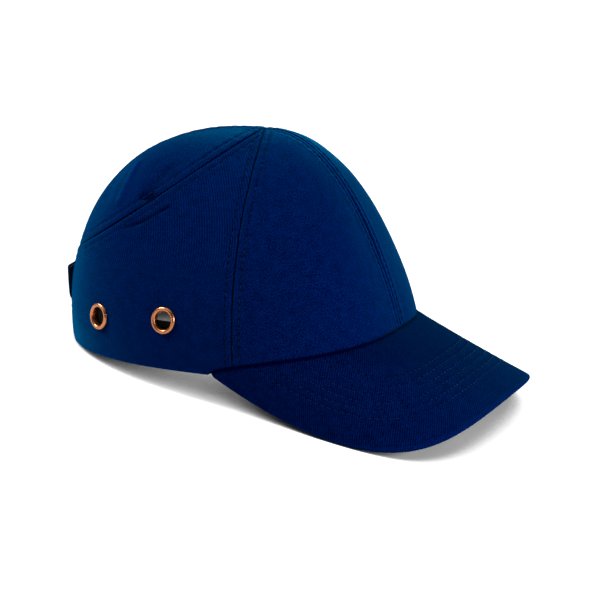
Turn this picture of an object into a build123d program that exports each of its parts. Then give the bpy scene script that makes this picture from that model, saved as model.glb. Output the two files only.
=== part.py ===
from build123d import *
import math
import os

os.makedirs("parts", exist_ok=True)

# A baseball-style bump cap, in millimetres. Everything is drawn in the cap's own frame: the hem lies in
# the plane z = 0, +Z goes up through the crown's tip, the wearer faces -Y and +X is the wearer's left.
# At the end every piece is tipped back by REST_TILT, so that the cap stands on z = 0 as it would on a
# table: on the two side edges of its visor and on the hem either side of the rear opening.

# ---------------------------------------------------------------- driving dimensions
HALF_WIDTH = 86.0           # crown, at the hem
FRONT_LENGTH = 92.0         # from the crown's tip forward to the hem
REAR_LENGTH = 118.5         # from the crown's tip back to the hem
HEIGHT = 129.0              # crown, above the hem
FRONT_POWER = 2.5           # roundness of the plan outline (2 is an ellipse)
REAR_POWER = 2.3
LEAN = (-0.16, 0.025, 0.07)         # outward lean of the wall at the hem: front, side, rear
RISE = (0.48, 0.575, 0.56)          # how upright the wall is: front, side, rear
SHOULDER = (0.495, 0.385, 0.79)     # fullness near the top: front, side, rear
CREST = (0.03, -0.01, 0.022)        # lift just before the tip: front, side, rear

FABRIC = 0.8                # one layer of twill
TAPE = 0.4
TAPE_WIDTH = 12.0
SWEATBAND_HEIGHT = 28.0
SWEATBAND = 1.2
SHELL = 2.0                 # moulded bump shell
FOAM = 5.0
EDGE_PLAY = 0.05            # gap between layers that lie on each other

VISOR_HALF_ANGLE = 87.5     # where the visor ends on the hem, degrees from the front
VISOR_RISE = 17.0           # how far the crown's edge is arched up over the visor at the front
VISOR_ARCH_POWER = 0.64
VISOR_REACH = 156.0         # the visor's front edge, ahead of the crown's tip
VISOR_BOARD = 1.6
VISOR_SIDE = (89.0, -112.0, -58.0)      # pulls the side edge of the visor out, forward and down
VISOR_FRONT = (118.0, -156.0, -16.5)    # pulls the corner of the visor's front edge sideways

ARCH_HALF_WIDTH = 32.0      # rear opening
ARCH_HEIGHT = 57.0
BINDING_WIDTH = 6.0

STRAP_BOTTOM = 21.0
STRAP_TOP = 42.0
STRAP = 1.0                 # two layers of twill, sewn together
PATCH = 0.6                 # hook or loop tape

EYELET_BORE_R = 5.25
EYELET_R = 7.8
EYELET_PLACES = {"front": (107.3, 28.5), "rear": (135.8, 23.7)}     # degrees from the front, height

FAR = 400.0                 # longer than anything here
SEGMENTS = 40

# depths below the crown's outer surface
TAPE_DEPTH = FABRIC + EDGE_PLAY
SWEATBAND_DEPTH = 2.9
SHELL_DEPTH = 3.5

BINDING = 0.5
BINDING_LAP = 1.0           # the fabric's edge stops this far inside the binding's fold
HEM_LIFT = 0.5              # inner layers end this far above the hem
FACING_HEIGHT = 12.0
VISOR_COVER = 0.7
VISOR_PLAY = 0.15

BARREL_R = 5.75
EYELET_DOME = 1.5
EYELET_PROUD = 0.05
WASHER_TOP = -1.4
ROLL_TOP = -2.1
ROLL_BOTTOM = -2.5
ROLL_R = 6.8

STRAP_MIDDLE = (STRAP_BOTTOM + STRAP_TOP) / 2
OUTSIDE_DEPTH = -1.6        # outer strap's root, outside the binding
INSIDE_DEPTH = 1.4          # inner strap's root, inside the binding
ANCHOR_LENGTH = 13.0
ANCHOR_CLEARANCE = 1.5
OUTER_GAP = 1.3             # outer strap just after its hinge
INSIDE_GAP = -4.2           # inner strap just after its hinge
INNER_GAP = -0.8            # inner strap where it crosses the opening
HINGE_ANGLE = 16.0          # where the straps flex, degrees from the rear's middle

# how the cap stands
REST_TILT = 8.64
REST_SHIFT = (0, 14.81, 16.96)


# ---------------------------------------------------------------- the crown's surface
def blend(phi, values):
    """Mix of a front, a side and a rear value at phi, in radians from the front."""
    front, side, rear = values
    ahead = max(math.cos(phi), 0.0) ** 2
    behind = max(-math.cos(phi), 0.0) ** 2
    return front * ahead + side * math.sin(phi) ** 2 + rear * behind


def plan_radius(phi):
    reach = FRONT_LENGTH if math.cos(phi) > 0 else REAR_LENGTH
    forward = 0.5 + 0.5 * math.cos(phi)
    power = FRONT_POWER * forward + REAR_POWER * (1 - forward)
    across = abs(math.sin(phi) / HALF_WIDTH) ** power
    along = abs(math.cos(phi) / reach) ** power
    return (across + along) ** (-1 / power)


def crown_point(phi, t):
    """Outer surface of the crown: t runs from 0 at the hem to 1 at the tip."""
    start = (1 - t) ** 3
    lower = 3 * t * (1 - t) ** 2
    upper = 3 * t * t * (1 - t)
    radius = plan_radius(phi) * (start + lower * (1 + blend(phi, LEAN)) + upper * blend(phi, SHOULDER))
    height = HEIGHT * (lower * blend(phi, RISE) + upper * (1 + blend(phi, CREST)) + t ** 3)
    return Vector(radius * math.sin(phi), -radius * math.cos(phi), height)


def crown_at(phi, height):
    """The point of the crown's surface in direction phi and at a height, by bisection."""
    low, high = 0.0, 0.97
    for _ in range(40):
        middle = (low + high) / 2
        if crown_point(phi, middle).Z < height:
            low = middle
        else:
            high = middle
    return crown_point(phi, low)


def crown_normal(phi, height):
    step = 0.01
    along = crown_at(phi + step, height) - crown_at(phi - step, height)
    up = crown_at(phi, height + 1) - crown_at(phi, height - 1)
    return along.cross(up).normalized()


def outline(height):
    points = [crown_at(2 * math.pi * i / SEGMENTS, height) for i in range(SEGMENTS)]
    knots = [i / SEGMENTS for i in range(SEGMENTS + 1)]
    return Face(Wire([Edge.make_spline(points, periodic=True, parameters=knots)]))


def crown_block():
    """The whole crown as one solid lump, lofted through level outlines that crowd towards the tip."""
    steps = 15
    top = HEIGHT - 0.5
    heights = [top * math.sin(math.pi / 2 * i / steps) for i in range(steps + 1)]
    return loft([outline(height) for height in heights])


CROWN = crown_block()
MIDDLE = (REAR_LENGTH - FRONT_LENGTH) / 2


def inside(depth):
    """The crown lump shrunk evenly, so that its wall lies depth inside the crown's outer surface."""
    half_length = (REAR_LENGTH + FRONT_LENGTH) / 2
    factors = (1 - depth / HALF_WIDTH, 1 - depth / half_length, 1 - depth / HEIGHT)
    return scale(CROWN, by=factors, about=(0, MIDDLE, 0))


def layer(outer, inner):
    """A skin between two depths below the crown's outer surface, open at the hem."""
    return inside(outer) - Pos(0, 0, -0.01) * inside(inner)


# ---------------------------------------------------------------- seam lines, in side view (y, z)
FRONT_SEAM = [(-20.5, -10), (-17.6, 20), (-13.8, 62), (-12.0, 98), (-8.4, 116.7), (0, 129), (4, 140)]
REAR_SEAM_SLOPE = 0.88
REAR_SEAM_BEND = 0.0019


def rear_seam_height(y):
    return HEIGHT - REAR_SEAM_SLOPE * y + REAR_SEAM_BEND * y * y


def visor_arch(phi):
    """Height of the crown's edge over the visor, phi in degrees from the front."""
    share = min(abs(phi) / VISOR_HALF_ANGLE, 1.0)
    return VISOR_RISE * max(math.cos(math.pi / 2 * share), 0.0) ** VISOR_ARCH_POWER


def hem_line(lift):
    """The hem in side view, from ahead of the cap to its rear: arched over the visor, then level."""
    angles = [0, 12, 25, 38, 50, 60, 70, 78, 84]
    points = []
    for angle in angles:
        height = visor_arch(angle)
        points.append((crown_at(math.radians(angle), height).Y, height + lift))
    front = (-FAR, VISOR_RISE + lift)
    end = crown_at(math.radians(VISOR_HALF_ANGLE), 0).Y
    return [front] + points + [(end, lift), (FAR, lift)]


def side_region(points):
    """Everything on both sides of the cap whose side view lies inside a closed outline."""
    face = Plane.YZ * make_face(Polyline(*points, close=True))
    return extrude(face, amount=FAR, both=True)


def above_hem(lift=0.0):
    return side_region(hem_line(lift) + [(FAR, FAR), (-FAR, FAR)])


def front_region():
    seam = [Vector(y, z) for y, z in FRONT_SEAM]
    line = Spline(*seam)
    border = Polyline(seam[-1], (4, FAR), (-FAR, FAR), (-FAR, -10), seam[0])
    return extrude(Plane.YZ * make_face(line + border), amount=FAR, both=True)


def rear_region():
    """Behind and above the rear seams, which fall from the tip to the rear opening."""
    ys = [0, 25, 50, 75, 100, 125]
    seam = [Vector(y, rear_seam_height(y)) for y in ys]
    line = Spline(*seam)
    border = Polyline(seam[-1], (FAR, seam[-1].Y), (FAR, FAR), (0, FAR), seam[0])
    return extrude(Plane.YZ * make_face(line + border), amount=FAR, both=True)


def arch_region(grow=0.0):
    """The rear opening: a half-oval on straight sides, cut through the back of the crown."""
    half = ARCH_HALF_WIDTH + grow
    spring = 0.45 * ARCH_HEIGHT
    oval = Pos(0, spring) * Ellipse(half, ARCH_HEIGHT - spring + grow)
    legs = Pos(0, (spring - FAR) / 2) * Rectangle(2 * half, spring + FAR)
    return Pos(0, 60, 0) * extrude(Plane.XZ * (oval + legs), amount=-FAR)


FRONT = front_region()
REAR = rear_region()
LEFT = Pos(FAR / 2, 0, 0) * Box(FAR, 2 * FAR, 2 * FAR)
RIGHT = Pos(-FAR / 2, 0, 0) * Box(FAR, 2 * FAR, 2 * FAR)
SIDES = {"left": LEFT, "right": RIGHT}
ABOVE_HEM = above_hem()


# ---------------------------------------------------------------- eyelets
def eyelet_seat(place, side):
    """Plane that touches the side panel at an eyelet, with its normal pointing out of the cap."""
    angle, height = EYELET_PLACES[place]
    phi = math.radians(angle if side == "left" else -angle)
    return Plane(origin=crown_at(phi, height), z_dir=crown_normal(phi, height))


def ring(inner, outer, bottom, top):
    return Pos(0, 0, bottom) * extrude(Circle(outer) - Circle(inner), amount=top - bottom)


def eyelet():
    """Domed flange outside, barrel through the fabric, and an end rolled over the washer."""
    rim_middle = (EYELET_BORE_R + EYELET_R) / 2
    dome = ThreePointArc((EYELET_BORE_R, 0.5), (rim_middle, EYELET_DOME), (EYELET_R, EYELET_PROUD))
    foot = Polyline((EYELET_R, EYELET_PROUD), (BARREL_R, EYELET_PROUD), (BARREL_R, ROLL_TOP),
                    (ROLL_R, ROLL_TOP), (ROLL_R, ROLL_BOTTOM), (EYELET_BORE_R, ROLL_BOTTOM),
                    (EYELET_BORE_R, 0.5))
    return revolve(Plane.XZ * make_face(dome + foot), axis=Axis.Z)


def washer():
    return ring(BARREL_R + EDGE_PLAY, EYELET_R, ROLL_TOP + EDGE_PLAY, WASHER_TOP)


def eyelet_hole(place, side):
    return eyelet_seat(place, side) * Cylinder(BARREL_R + EDGE_PLAY, 12)


# ---------------------------------------------------------------- crown of sewn twill
def panels():
    skin = layer(0, FABRIC) & ABOVE_HEM
    opening = arch_region(BINDING_LAP)
    pieces = {}
    for side, half in SIDES.items():
        front = skin & FRONT & half
        middle = (skin - FRONT - REAR) & half
        middle -= opening
        for place in EYELET_PLACES:
            middle -= eyelet_hole(place, side)
        pieces["front_panel_" + side] = front
        pieces["side_panel_" + side] = middle
        pieces["rear_panel_" + side] = ((skin - FRONT) & REAR & half) - opening
    return pieces


def seam_tapes():
    """Twill tapes sewn over the raw seams inside the crown; the centre tapes lie over the others."""
    skin = layer(TAPE_DEPTH, TAPE_DEPTH + TAPE) & above_hem(FACING_HEIGHT + EDGE_PLAY)
    skin -= arch_region(BINDING_WIDTH + EDGE_PLAY)
    half_width = TAPE_WIDTH / 2
    centre = Box(TAPE_WIDTH, 2 * FAR, 2 * FAR)
    ahead = Pos(0, -FAR / 2, 0) * Box(FAR, FAR, 2 * FAR)
    front_band = Pos(0, half_width, 0) * FRONT - Pos(0, -half_width, 0) * FRONT
    slant = half_width / math.cos(math.atan(REAR_SEAM_SLOPE))
    rear_band = Pos(0, 0, -slant) * REAR - Pos(0, 0, slant) * REAR
    pieces = {"centre_front_tape": skin & centre & ahead, "centre_rear_tape": (skin & centre) - ahead}
    sides = skin - centre
    for side, half in SIDES.items():
        pieces["front_seam_tape_" + side] = sides & front_band & half
        pieces["rear_seam_tape_" + side] = (sides & rear_band & half) - front_band
    return pieces


def arch_binding():
    """Folded tape round the edge of the rear opening, with a leaf outside and a leaf inside."""
    lift = above_hem(HEM_LIFT)
    folded = layer(-BINDING, FABRIC + BINDING) & lift
    folded = (folded & arch_region(BINDING_WIDTH)) - arch_region()
    room = layer(-EDGE_PLAY, FABRIC + EDGE_PLAY) - arch_region(BINDING_LAP - EDGE_PLAY)
    return folded - room


def hem_facing():
    """The hem turned up inside, which fills the space between the crown and the sweatband."""
    skin = layer(FABRIC + EDGE_PLAY, SWEATBAND_DEPTH - EDGE_PLAY)
    return ((skin & above_hem(HEM_LIFT)) - above_hem(FACING_HEIGHT)) - arch_region(BINDING_WIDTH + 1)


def sweatband():
    skin = layer(SWEATBAND_DEPTH, SWEATBAND_DEPTH + SWEATBAND)
    return ((skin & above_hem(HEM_LIFT)) - above_hem(SWEATBAND_HEIGHT)) - arch_region(BINDING_WIDTH + 1)


def size_label():
    depth = SWEATBAND_DEPTH + SWEATBAND + EDGE_PLAY
    area = Pos(60, FAR / 2, 15) * Box(26, FAR, 14)
    return layer(depth, depth + 0.3) & area


# ---------------------------------------------------------------- visor
def visor_edge(share):
    """Outer edge: a cubic curve from the hem at share 0 to the middle of the front at share 1."""
    start = crown_at(math.radians(VISOR_HALF_ANGLE), 0)
    first = Vector(*VISOR_SIDE)
    second = Vector(*VISOR_FRONT)
    end = Vector(0, VISOR_FRONT[1], VISOR_FRONT[2])
    rest = 1 - share
    return (start * rest ** 3 + first * (3 * rest * rest * share)
            + second * (3 * rest * share * share) + end * share ** 3)


def visor_point(across, out):
    """Top of the visor: across runs from -1 on the right to 1 on the left, out from crown to edge."""
    share = 1 - abs(across)
    angle = VISOR_HALF_ANGLE * abs(across)
    root = crown_at(math.radians(angle), visor_arch(angle))
    point = root * (1 - out) + visor_edge(share) * out
    return Vector(math.copysign(point.X, across), point.Y, point.Z)


def visor_normal(across, out):
    step = 0.02
    along = visor_point(across + step, out) - visor_point(across - step, out)
    outward = visor_point(across, 1.0) - visor_point(across, 0.0)
    normal = outward.cross(along).normalized()
    return normal if normal.Z > 0 else -normal


def visor_sheet(drop, thickness, root_gap, edge_gap, end_gap):
    """A curved plate of the visor: drop is how far its top lies below the visor's top."""
    columns, rows = 29, 7
    grid = []
    for i in range(columns):
        across = (1 - end_gap) * (2 * i / (columns - 1) - 1)
        length = (visor_point(across, 1) - visor_point(across, 0)).length
        line = []
        for j in range(rows):
            out = (root_gap + (length - root_gap - edge_gap) * j / (rows - 1)) / length
            line.append(visor_point(across, out) - visor_normal(across, out) * drop)
        grid.append(line)
    face = Face.make_surface_from_array_of_points(grid, tol=0.01, max_deg=5)
    downward = -1 if face.normal_at(face.center()).Z > 0 else 1
    return thicken(face, amount=downward * thickness)


def visor():
    cover = VISOR_COVER
    board_top = cover + VISOR_PLAY
    under_top = board_top + VISOR_BOARD + VISOR_PLAY
    return {
        "visor_top_cover": visor_sheet(0, cover, 0.3, 0.0, 0.05),
        "visor_board": visor_sheet(board_top, VISOR_BOARD, 1.5, 1.5, 0.08),
        "visor_under_cover": visor_sheet(under_top, cover, 0.3, 0.3, 0.05),
    }


# ---------------------------------------------------------------- closure strap across the rear opening
def rear_place(degrees, gap):
    """A point gap outside the crown at the strap's height, degrees round from the rear's middle."""
    phi = math.pi - math.radians(degrees)
    normal = crown_normal(phi, STRAP_MIDDLE)
    point = crown_at(phi, STRAP_MIDDLE) + Vector(normal.X, normal.Y, 0).normalized() * gap
    return Vector(point.X, point.Y, 0)


def band(start, end, gaps, thickness, inset=0.0):
    """An upright band that follows the rear; gaps is its standoff from the crown, from start to end."""
    count = 9
    angles = [start + (end - start) * i / (count - 1) for i in range(count)]
    first, last = gaps
    offsets = []
    for i in range(count):
        ramp = min(1.0, 2.5 * i / (count - 1))
        offsets.append(first + (last - first) * ramp * ramp * (3 - 2 * ramp))
    near = [rear_place(a, g) for a, g in zip(angles, offsets)]
    far = [rear_place(a, g + thickness) for a, g in zip(angles, offsets)]
    border = [Spline(*near), Line(near[-1], far[-1]), Spline(*far), Line(far[0], near[0])]
    face = make_face(border)
    height = STRAP_TOP - STRAP_BOTTOM - 2 * inset
    return Pos(0, 0, STRAP_BOTTOM + inset) * extrude(face, amount=height, dir=(0, 0, 1))


def anchor(depth, side):
    """The sewn root of a strap beside the rear opening, in the layer that starts at a depth."""
    sign = 1 if side == "left" else -1
    middle = sign * (ARCH_HALF_WIDTH + ANCHOR_CLEARANCE + ANCHOR_LENGTH / 2)
    size = Box(ANCHOR_LENGTH, FAR, STRAP_TOP - STRAP_BOTTOM)
    return layer(depth, depth + STRAP) & (Pos(middle, FAR / 2, STRAP_MIDDLE) * size)


def strap():
    inner_top = INNER_GAP + STRAP
    loop = inner_top + EDGE_PLAY
    hook = loop + PATCH + 0.3
    outer = hook + PATCH + EDGE_PLAY
    return {
        "outer_strap_anchor": anchor(OUTSIDE_DEPTH, "left"),
        "outer_strap": band(HINGE_ANGLE - 0.3, -16.0, (OUTER_GAP, outer), STRAP),
        "hook_patch": band(3.0, -15.4, (hook, hook), PATCH, inset=1.5),
        "inner_strap_anchor": anchor(INSIDE_DEPTH, "right"),
        "inner_strap": band(1.2 - HINGE_ANGLE, 8.0, (INSIDE_GAP, INNER_GAP), STRAP),
        "loop_patch": band(-5.5, 7.4, (loop, loop), PATCH, inset=1.5),
    }


# ---------------------------------------------------------------- removable bump insert
def rim_region():
    """Everything above the insert's lower rim, which dips at the ears."""
    rim = [(-100, 60), (-50, 54), (0, 40), (40, 39), (80, 56), (115, 64)]
    line = Spline(*rim)
    border = Polyline(rim[-1], (FAR, 64), (FAR, FAR), (-FAR, FAR), (-FAR, 60), rim[0])
    return extrude(Plane.YZ * make_face(line + border), amount=FAR, both=True)


def bump_shell():
    dome = layer(SHELL_DEPTH, SHELL_DEPTH + SHELL) & rim_region()
    for x in (-46, -26, 26, 46):
        for y in (-24, 10, 44):
            slot = Pos(x, y, 50) * extrude(Rot(0, 0, 90) * SlotOverall(24, 6), amount=FAR)
            dome -= slot
    return dome


def pads():
    """Foam pads glued inside the shell."""
    depth = SHELL_DEPTH + SHELL + EDGE_PLAY
    foam = layer(depth, depth + FOAM)
    long_arm = Pos(0, 12, FAR / 2 + 88) * Box(34, 116, FAR)
    cross_arm = Pos(0, 12, FAR / 2 + 88) * Box(104, 34, FAR)
    front = Pos(0, -FAR / 2, 74) * Box(70, FAR, 24)
    rear = Pos(0, FAR / 2 + 20, 82) * Box(64, FAR, 20)
    pieces = {
        "crown_pad": foam & (long_arm + cross_arm),
        "front_pad": (foam & front) - long_arm,
        "rear_pad": (foam & rear) - long_arm,
    }
    for side, half in SIDES.items():
        pieces["side_pad_" + side] = foam & (Pos(0, 14, 62) * Box(2 * FAR, 56, 30)) & half
    return pieces


# ---------------------------------------------------------------- the whole cap
def eyelets():
    pieces = {}
    for side in SIDES:
        for place in EYELET_PLACES:
            seat = eyelet_seat(place, side)
            pieces["eyelet_" + place + "_" + side] = seat * eyelet()
            pieces["eyelet_washer_" + place + "_" + side] = seat * washer()
    return pieces


def rest(shape):
    """From the cap's own frame to the frame in which it stands on z = 0."""
    return Pos(*REST_SHIFT) * Rot(-REST_TILT, 0, 0) * shape


cap = {}
cap.update(panels())
cap.update(seam_tapes())
cap["arch_binding"] = arch_binding()
cap["hem_facing"] = hem_facing()
cap["sweatband"] = sweatband()
cap["size_label"] = size_label()
cap.update(visor())
cap.update(strap())
cap.update(eyelets())
cap["bump_shell"] = bump_shell()
cap.update(pads())

for name, piece in cap.items():
    export_step(rest(piece), "parts/" + name + ".step")
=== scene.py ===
import math

import bmesh
import bpy
import numpy as np
from mathutils import Matrix, Vector


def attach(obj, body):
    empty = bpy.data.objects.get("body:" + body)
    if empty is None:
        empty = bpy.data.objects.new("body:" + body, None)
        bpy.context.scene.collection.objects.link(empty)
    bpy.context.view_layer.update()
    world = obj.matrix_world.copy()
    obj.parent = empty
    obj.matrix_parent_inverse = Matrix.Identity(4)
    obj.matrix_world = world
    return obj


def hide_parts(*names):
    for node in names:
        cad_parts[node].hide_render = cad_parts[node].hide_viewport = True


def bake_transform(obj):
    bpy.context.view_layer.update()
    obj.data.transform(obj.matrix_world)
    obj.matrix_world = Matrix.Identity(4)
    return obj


# A navy twill bump cap. Shapes are worked out in the cap's own frame, in millimetres: the hem lies in the
# plane z = 0, +Z goes up through the crown's tip, the wearer faces -Y and +X is the wearer's left.
# rest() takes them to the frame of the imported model, in metres, where the cap stands on z = 0.

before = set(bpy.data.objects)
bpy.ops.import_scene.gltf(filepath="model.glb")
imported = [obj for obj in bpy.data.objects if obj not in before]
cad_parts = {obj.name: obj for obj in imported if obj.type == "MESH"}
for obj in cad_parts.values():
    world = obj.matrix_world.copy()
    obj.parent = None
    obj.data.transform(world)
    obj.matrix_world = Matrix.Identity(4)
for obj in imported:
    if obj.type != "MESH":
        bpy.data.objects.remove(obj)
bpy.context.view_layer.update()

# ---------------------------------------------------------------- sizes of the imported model
MM = 0.001
HALF_WIDTH = 86.0
FRONT_LENGTH = 92.0
REAR_LENGTH = 118.5
HEIGHT = 129.0
FRONT_POWER = 2.5
REAR_POWER = 2.3
LEAN = (-0.16, 0.025, 0.07)
RISE = (0.48, 0.575, 0.56)
SHOULDER = (0.495, 0.385, 0.79)
CREST = (0.03, -0.01, 0.022)

VISOR_HALF_ANGLE = 87.5
VISOR_RISE = 17.0
VISOR_ARCH_POWER = 0.64
VISOR_SIDE = (89.0, -112.0, -58.0)
VISOR_FRONT = (118.0, -156.0, -16.5)
VISOR_THICKNESS = 3.3

ARCH_HALF_WIDTH = 32.0
ARCH_HEIGHT = 57.0
ARCH_SPRING = 0.45 * ARCH_HEIGHT
BINDING_WIDTH = 6.0
FABRIC = 0.8
TAPE_WIDTH = 12.0
TAPE_DEPTH = 0.85
SWEATBAND_DEPTH = 2.9
SWEATBAND_HEIGHT = 28.0
FACING_HEIGHT = 12.0

STRAP_BOTTOM = 21.0
STRAP_TOP = 42.0
STRAP_MIDDLE = (STRAP_BOTTOM + STRAP_TOP) / 2
HINGE_ANGLE = 16.0

EYELET_BORE_R = 5.25
EYELET_R = 7.8
BARREL_R = 5.75
EYELET_PLACES = {"front": (107.3, 28.5), "rear": (135.8, 23.7)}

REST_TILT = 8.64
REST_SHIFT = (0, 14.81, 16.96)

# ---------------------------------------------------------------- sewing
SEAM_STITCH = 4.2           # topstitching, this far each side of a seam
REAR_SEAM_STITCH = 5.2
STITCH_PITCH = 4.0
STITCH_LENGTH = 3.1
THREAD = 0.42


# ---------------------------------------------------------------- camera
CAMERA_AZIMUTH = -68.378
CAMERA_ELEVATION = 16.823
CAMERA_ROLL = 8.146
CAMERA_TARGET = (0, -0.003714, 0.046940)
CAMERA_DISTANCE = 1.285916
CAMERA_LENS = 129.135


def make_camera():
    azimuth = math.radians(CAMERA_AZIMUTH)
    elevation = math.radians(CAMERA_ELEVATION)
    roll = math.radians(CAMERA_ROLL)
    level = math.cos(elevation)
    back = Vector((math.sin(azimuth) * level, -math.cos(azimuth) * level, math.sin(elevation)))
    right = Vector((math.cos(azimuth), math.sin(azimuth), 0))
    up = back.cross(right)
    x_axis = math.cos(roll) * right + math.sin(roll) * up
    y_axis = math.cos(roll) * up - math.sin(roll) * right
    data = bpy.data.cameras.new("camera")
    data.lens = CAMERA_LENS
    data.sensor_width = 36
    data.clip_start = 0.01
    camera = bpy.data.objects.new("camera", data)
    bpy.context.scene.collection.objects.link(camera)
    place = Vector(CAMERA_TARGET) + CAMERA_DISTANCE * back
    camera.matrix_world = Matrix.Translation(place) @ Matrix((x_axis, y_axis, back)).transposed().to_4x4()
    bpy.context.scene.camera = camera


make_camera()


# ---------------------------------------------------------------- the crown's surface
def rest(points):
    """From the cap's own frame, in millimetres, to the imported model's frame, in metres."""
    tilt = math.radians(REST_TILT)
    x, y, z = np.moveaxis(np.asarray(points, float), -1, 0)
    along = y * math.cos(tilt) + z * math.sin(tilt)
    up = z * math.cos(tilt) - y * math.sin(tilt)
    return (np.stack([x, along, up], -1) + REST_SHIFT) * MM


def mixed(phi, values):
    front, side, rear = values
    ahead = np.maximum(np.cos(phi), 0) ** 2
    behind = np.maximum(-np.cos(phi), 0) ** 2
    return front * ahead + side * np.sin(phi) ** 2 + rear * behind


def crown(phi, t):
    """Outer surface: phi in radians from the front, t from 0 at the hem to 1 at the tip."""
    reach = np.where(np.cos(phi) > 0, FRONT_LENGTH, REAR_LENGTH)
    forward = 0.5 + 0.5 * np.cos(phi)
    power = FRONT_POWER * forward + REAR_POWER * (1 - forward)
    plan = (np.abs(np.sin(phi) / HALF_WIDTH) ** power + np.abs(np.cos(phi) / reach) ** power) ** (-1 / power)
    start = (1 - t) ** 3
    lower = 3 * t * (1 - t) ** 2
    upper = 3 * t * t * (1 - t)
    radius = plan * (start + lower * (1 + mixed(phi, LEAN)) + upper * mixed(phi, SHOULDER))
    height = HEIGHT * (lower * mixed(phi, RISE) + upper * (1 + mixed(phi, CREST)) + t ** 3)
    return np.stack([radius * np.sin(phi), -radius * np.cos(phi), height], -1)


def unit(vectors):
    return vectors / np.maximum(np.linalg.norm(vectors, axis=-1, keepdims=True), 1e-12)


def crown_normal(phi, t):
    t = np.clip(t, 0, 0.995)
    along = crown(phi + 1e-3, t) - crown(phi - 1e-3, t)
    up = crown(phi, t + 1e-3) - crown(phi, t - 1e-3)
    return unit(np.cross(along, up))


def bisect(low, high, is_below, rounds=36):
    """The value between low and high, arrays, where is_below stops being true."""
    low, high = np.array(low, float), np.array(high, float)
    for _ in range(rounds):
        middle = (low + high) / 2
        below = is_below(middle)
        low = np.where(below, middle, low)
        high = np.where(below, high, middle)
    return (low + high) / 2


def t_at(phi, height):
    phi, height = np.broadcast_arrays(np.asarray(phi, float), np.asarray(height, float))
    return bisect(np.zeros(phi.shape), np.full(phi.shape, 0.97), lambda t: crown(phi, t)[..., 2] < height)


POLE_HEIGHT = 30.0          # points are projected onto the crown from this height on its axis


def onto_crown(points):
    """phi and t of the crown's surface straight out from its axis through each point."""
    x, y, z = np.moveaxis(points, -1, 0)
    phi = np.arctan2(x, -y)
    angle = np.arctan2(z - POLE_HEIGHT, np.hypot(x, y))

    def is_below(t):
        p = crown(phi, t)
        return np.arctan2(p[..., 2] - POLE_HEIGHT, np.hypot(p[..., 0], p[..., 1])) < angle

    return phi, bisect(np.zeros(phi.shape), np.ones(phi.shape), is_below)


def lies_at(phi, t, depth):
    """Points depth inside the crown's outer surface."""
    return crown(phi, t) - crown_normal(phi, t) * np.asarray(depth)[..., None]


# ---------------------------------------------------------------- seam lines
def visor_arch(phi):
    """Height of the crown's edge over the visor."""
    share = np.minimum(np.abs(phi) / math.radians(VISOR_HALF_ANGLE), 1)
    return VISOR_RISE * np.maximum(np.cos(math.pi / 2 * share), 0) ** VISOR_ARCH_POWER


def hem_t(phi):
    return t_at(phi, visor_arch(phi))


FRONT_SEAM_ANGLE = 77.4     # degrees from the front, at the hem
FRONT_SEAM_LEAN = 9
FRONT_SEAM_BOW = 19
REAR_SEAM_FALL = 0.88       # how steeply the rear seams fall away from the tip
REAR_SEAM_BOW = 0.0019


def front_seam_phi(t):
    return np.radians(FRONT_SEAM_ANGLE + FRONT_SEAM_LEAN * t - FRONT_SEAM_BOW * t * t)


def rear_seam_phi(t):
    """The rear seams fall from the tip to the rear opening, in a shallow bow seen from the side."""

    def is_below(phi):
        p = crown(phi, t)
        y = p[..., 1]
        return p[..., 2] < HEIGHT - REAR_SEAM_FALL * y + REAR_SEAM_BOW * y * y

    return bisect(np.full(t.shape, math.pi / 2), np.full(t.shape, math.pi), is_below)


def arch_half(height):
    """Half-width of the rear opening at a height."""
    share = np.clip((height - ARCH_SPRING) / (ARCH_HEIGHT - ARCH_SPRING), 0, 1)
    return ARCH_HALF_WIDTH * np.sqrt(1 - share * share)


def arch_phi(t):
    def is_below(phi):
        p = crown(phi, t)
        return p[..., 0] > arch_half(p[..., 2])

    return bisect(np.full(t.shape, math.radians(120)), np.full(t.shape, math.pi), is_below)


def in_between(values, low, high):
    return np.clip((values - low) / (high - low), 0, 1)


def smooth_step(values, low, high):
    share = in_between(values, low, high)
    return share * share * (3 - 2 * share)


def arc_length(points):
    steps = np.linalg.norm(np.diff(points, axis=0), axis=-1)
    return np.concatenate([[0], np.cumsum(steps)])


def resample(points, spacing):
    """A polyline's points, evenly spaced."""
    length = arc_length(points)
    count = max(2, int(round(length[-1] / spacing)) + 1)
    places = np.linspace(0, length[-1], count)
    return np.stack([np.interp(places, length, points[:, i]) for i in range(3)], -1)


def near_curve(points, curve):
    """Distance of each point from a polyline, and how far along it that is."""
    flat = points.reshape(-1, 3)
    length = arc_length(curve)
    gaps = (flat ** 2).sum(1)[:, None] + (curve ** 2).sum(1)[None] - 2 * flat @ curve.T
    nearest = gaps.argmin(1)
    best = np.full(len(flat), np.inf)
    place = np.zeros(len(flat))
    for shift in (-1, 0):
        first = np.clip(nearest + shift, 0, len(curve) - 2)
        a, b = curve[first], curve[first + 1]
        run = b - a
        share = np.clip(((flat - a) * run).sum(1) / np.maximum((run ** 2).sum(1), 1e-9), 0, 1)
        gap = np.linalg.norm(flat - a - run * share[:, None], axis=1)
        closer = gap < best
        best = np.where(closer, gap, best)
        place = np.where(closer, length[first] + share * (length[first + 1] - length[first]), place)
    return best.reshape(points.shape[:-1]), place.reshape(points.shape[:-1])


def ripple(points, size, seed, waves=9):
    """Smooth seeded noise between about -1 and 1, with bumps of about size."""
    random = np.random.default_rng(seed)
    total = np.zeros(points.shape[:-1])
    for _ in range(waves):
        direction = unit(random.normal(size=3)) * 2 * math.pi / (size * random.uniform(1.4, 2.8))
        total += np.sin(points @ direction + random.uniform(0, 2 * math.pi))
    return total / math.sqrt(waves) * 0.8


SIDE_SIGNS = {"left": 1, "right": -1}
SEAM_T = np.linspace(0, 1, 241)


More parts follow.
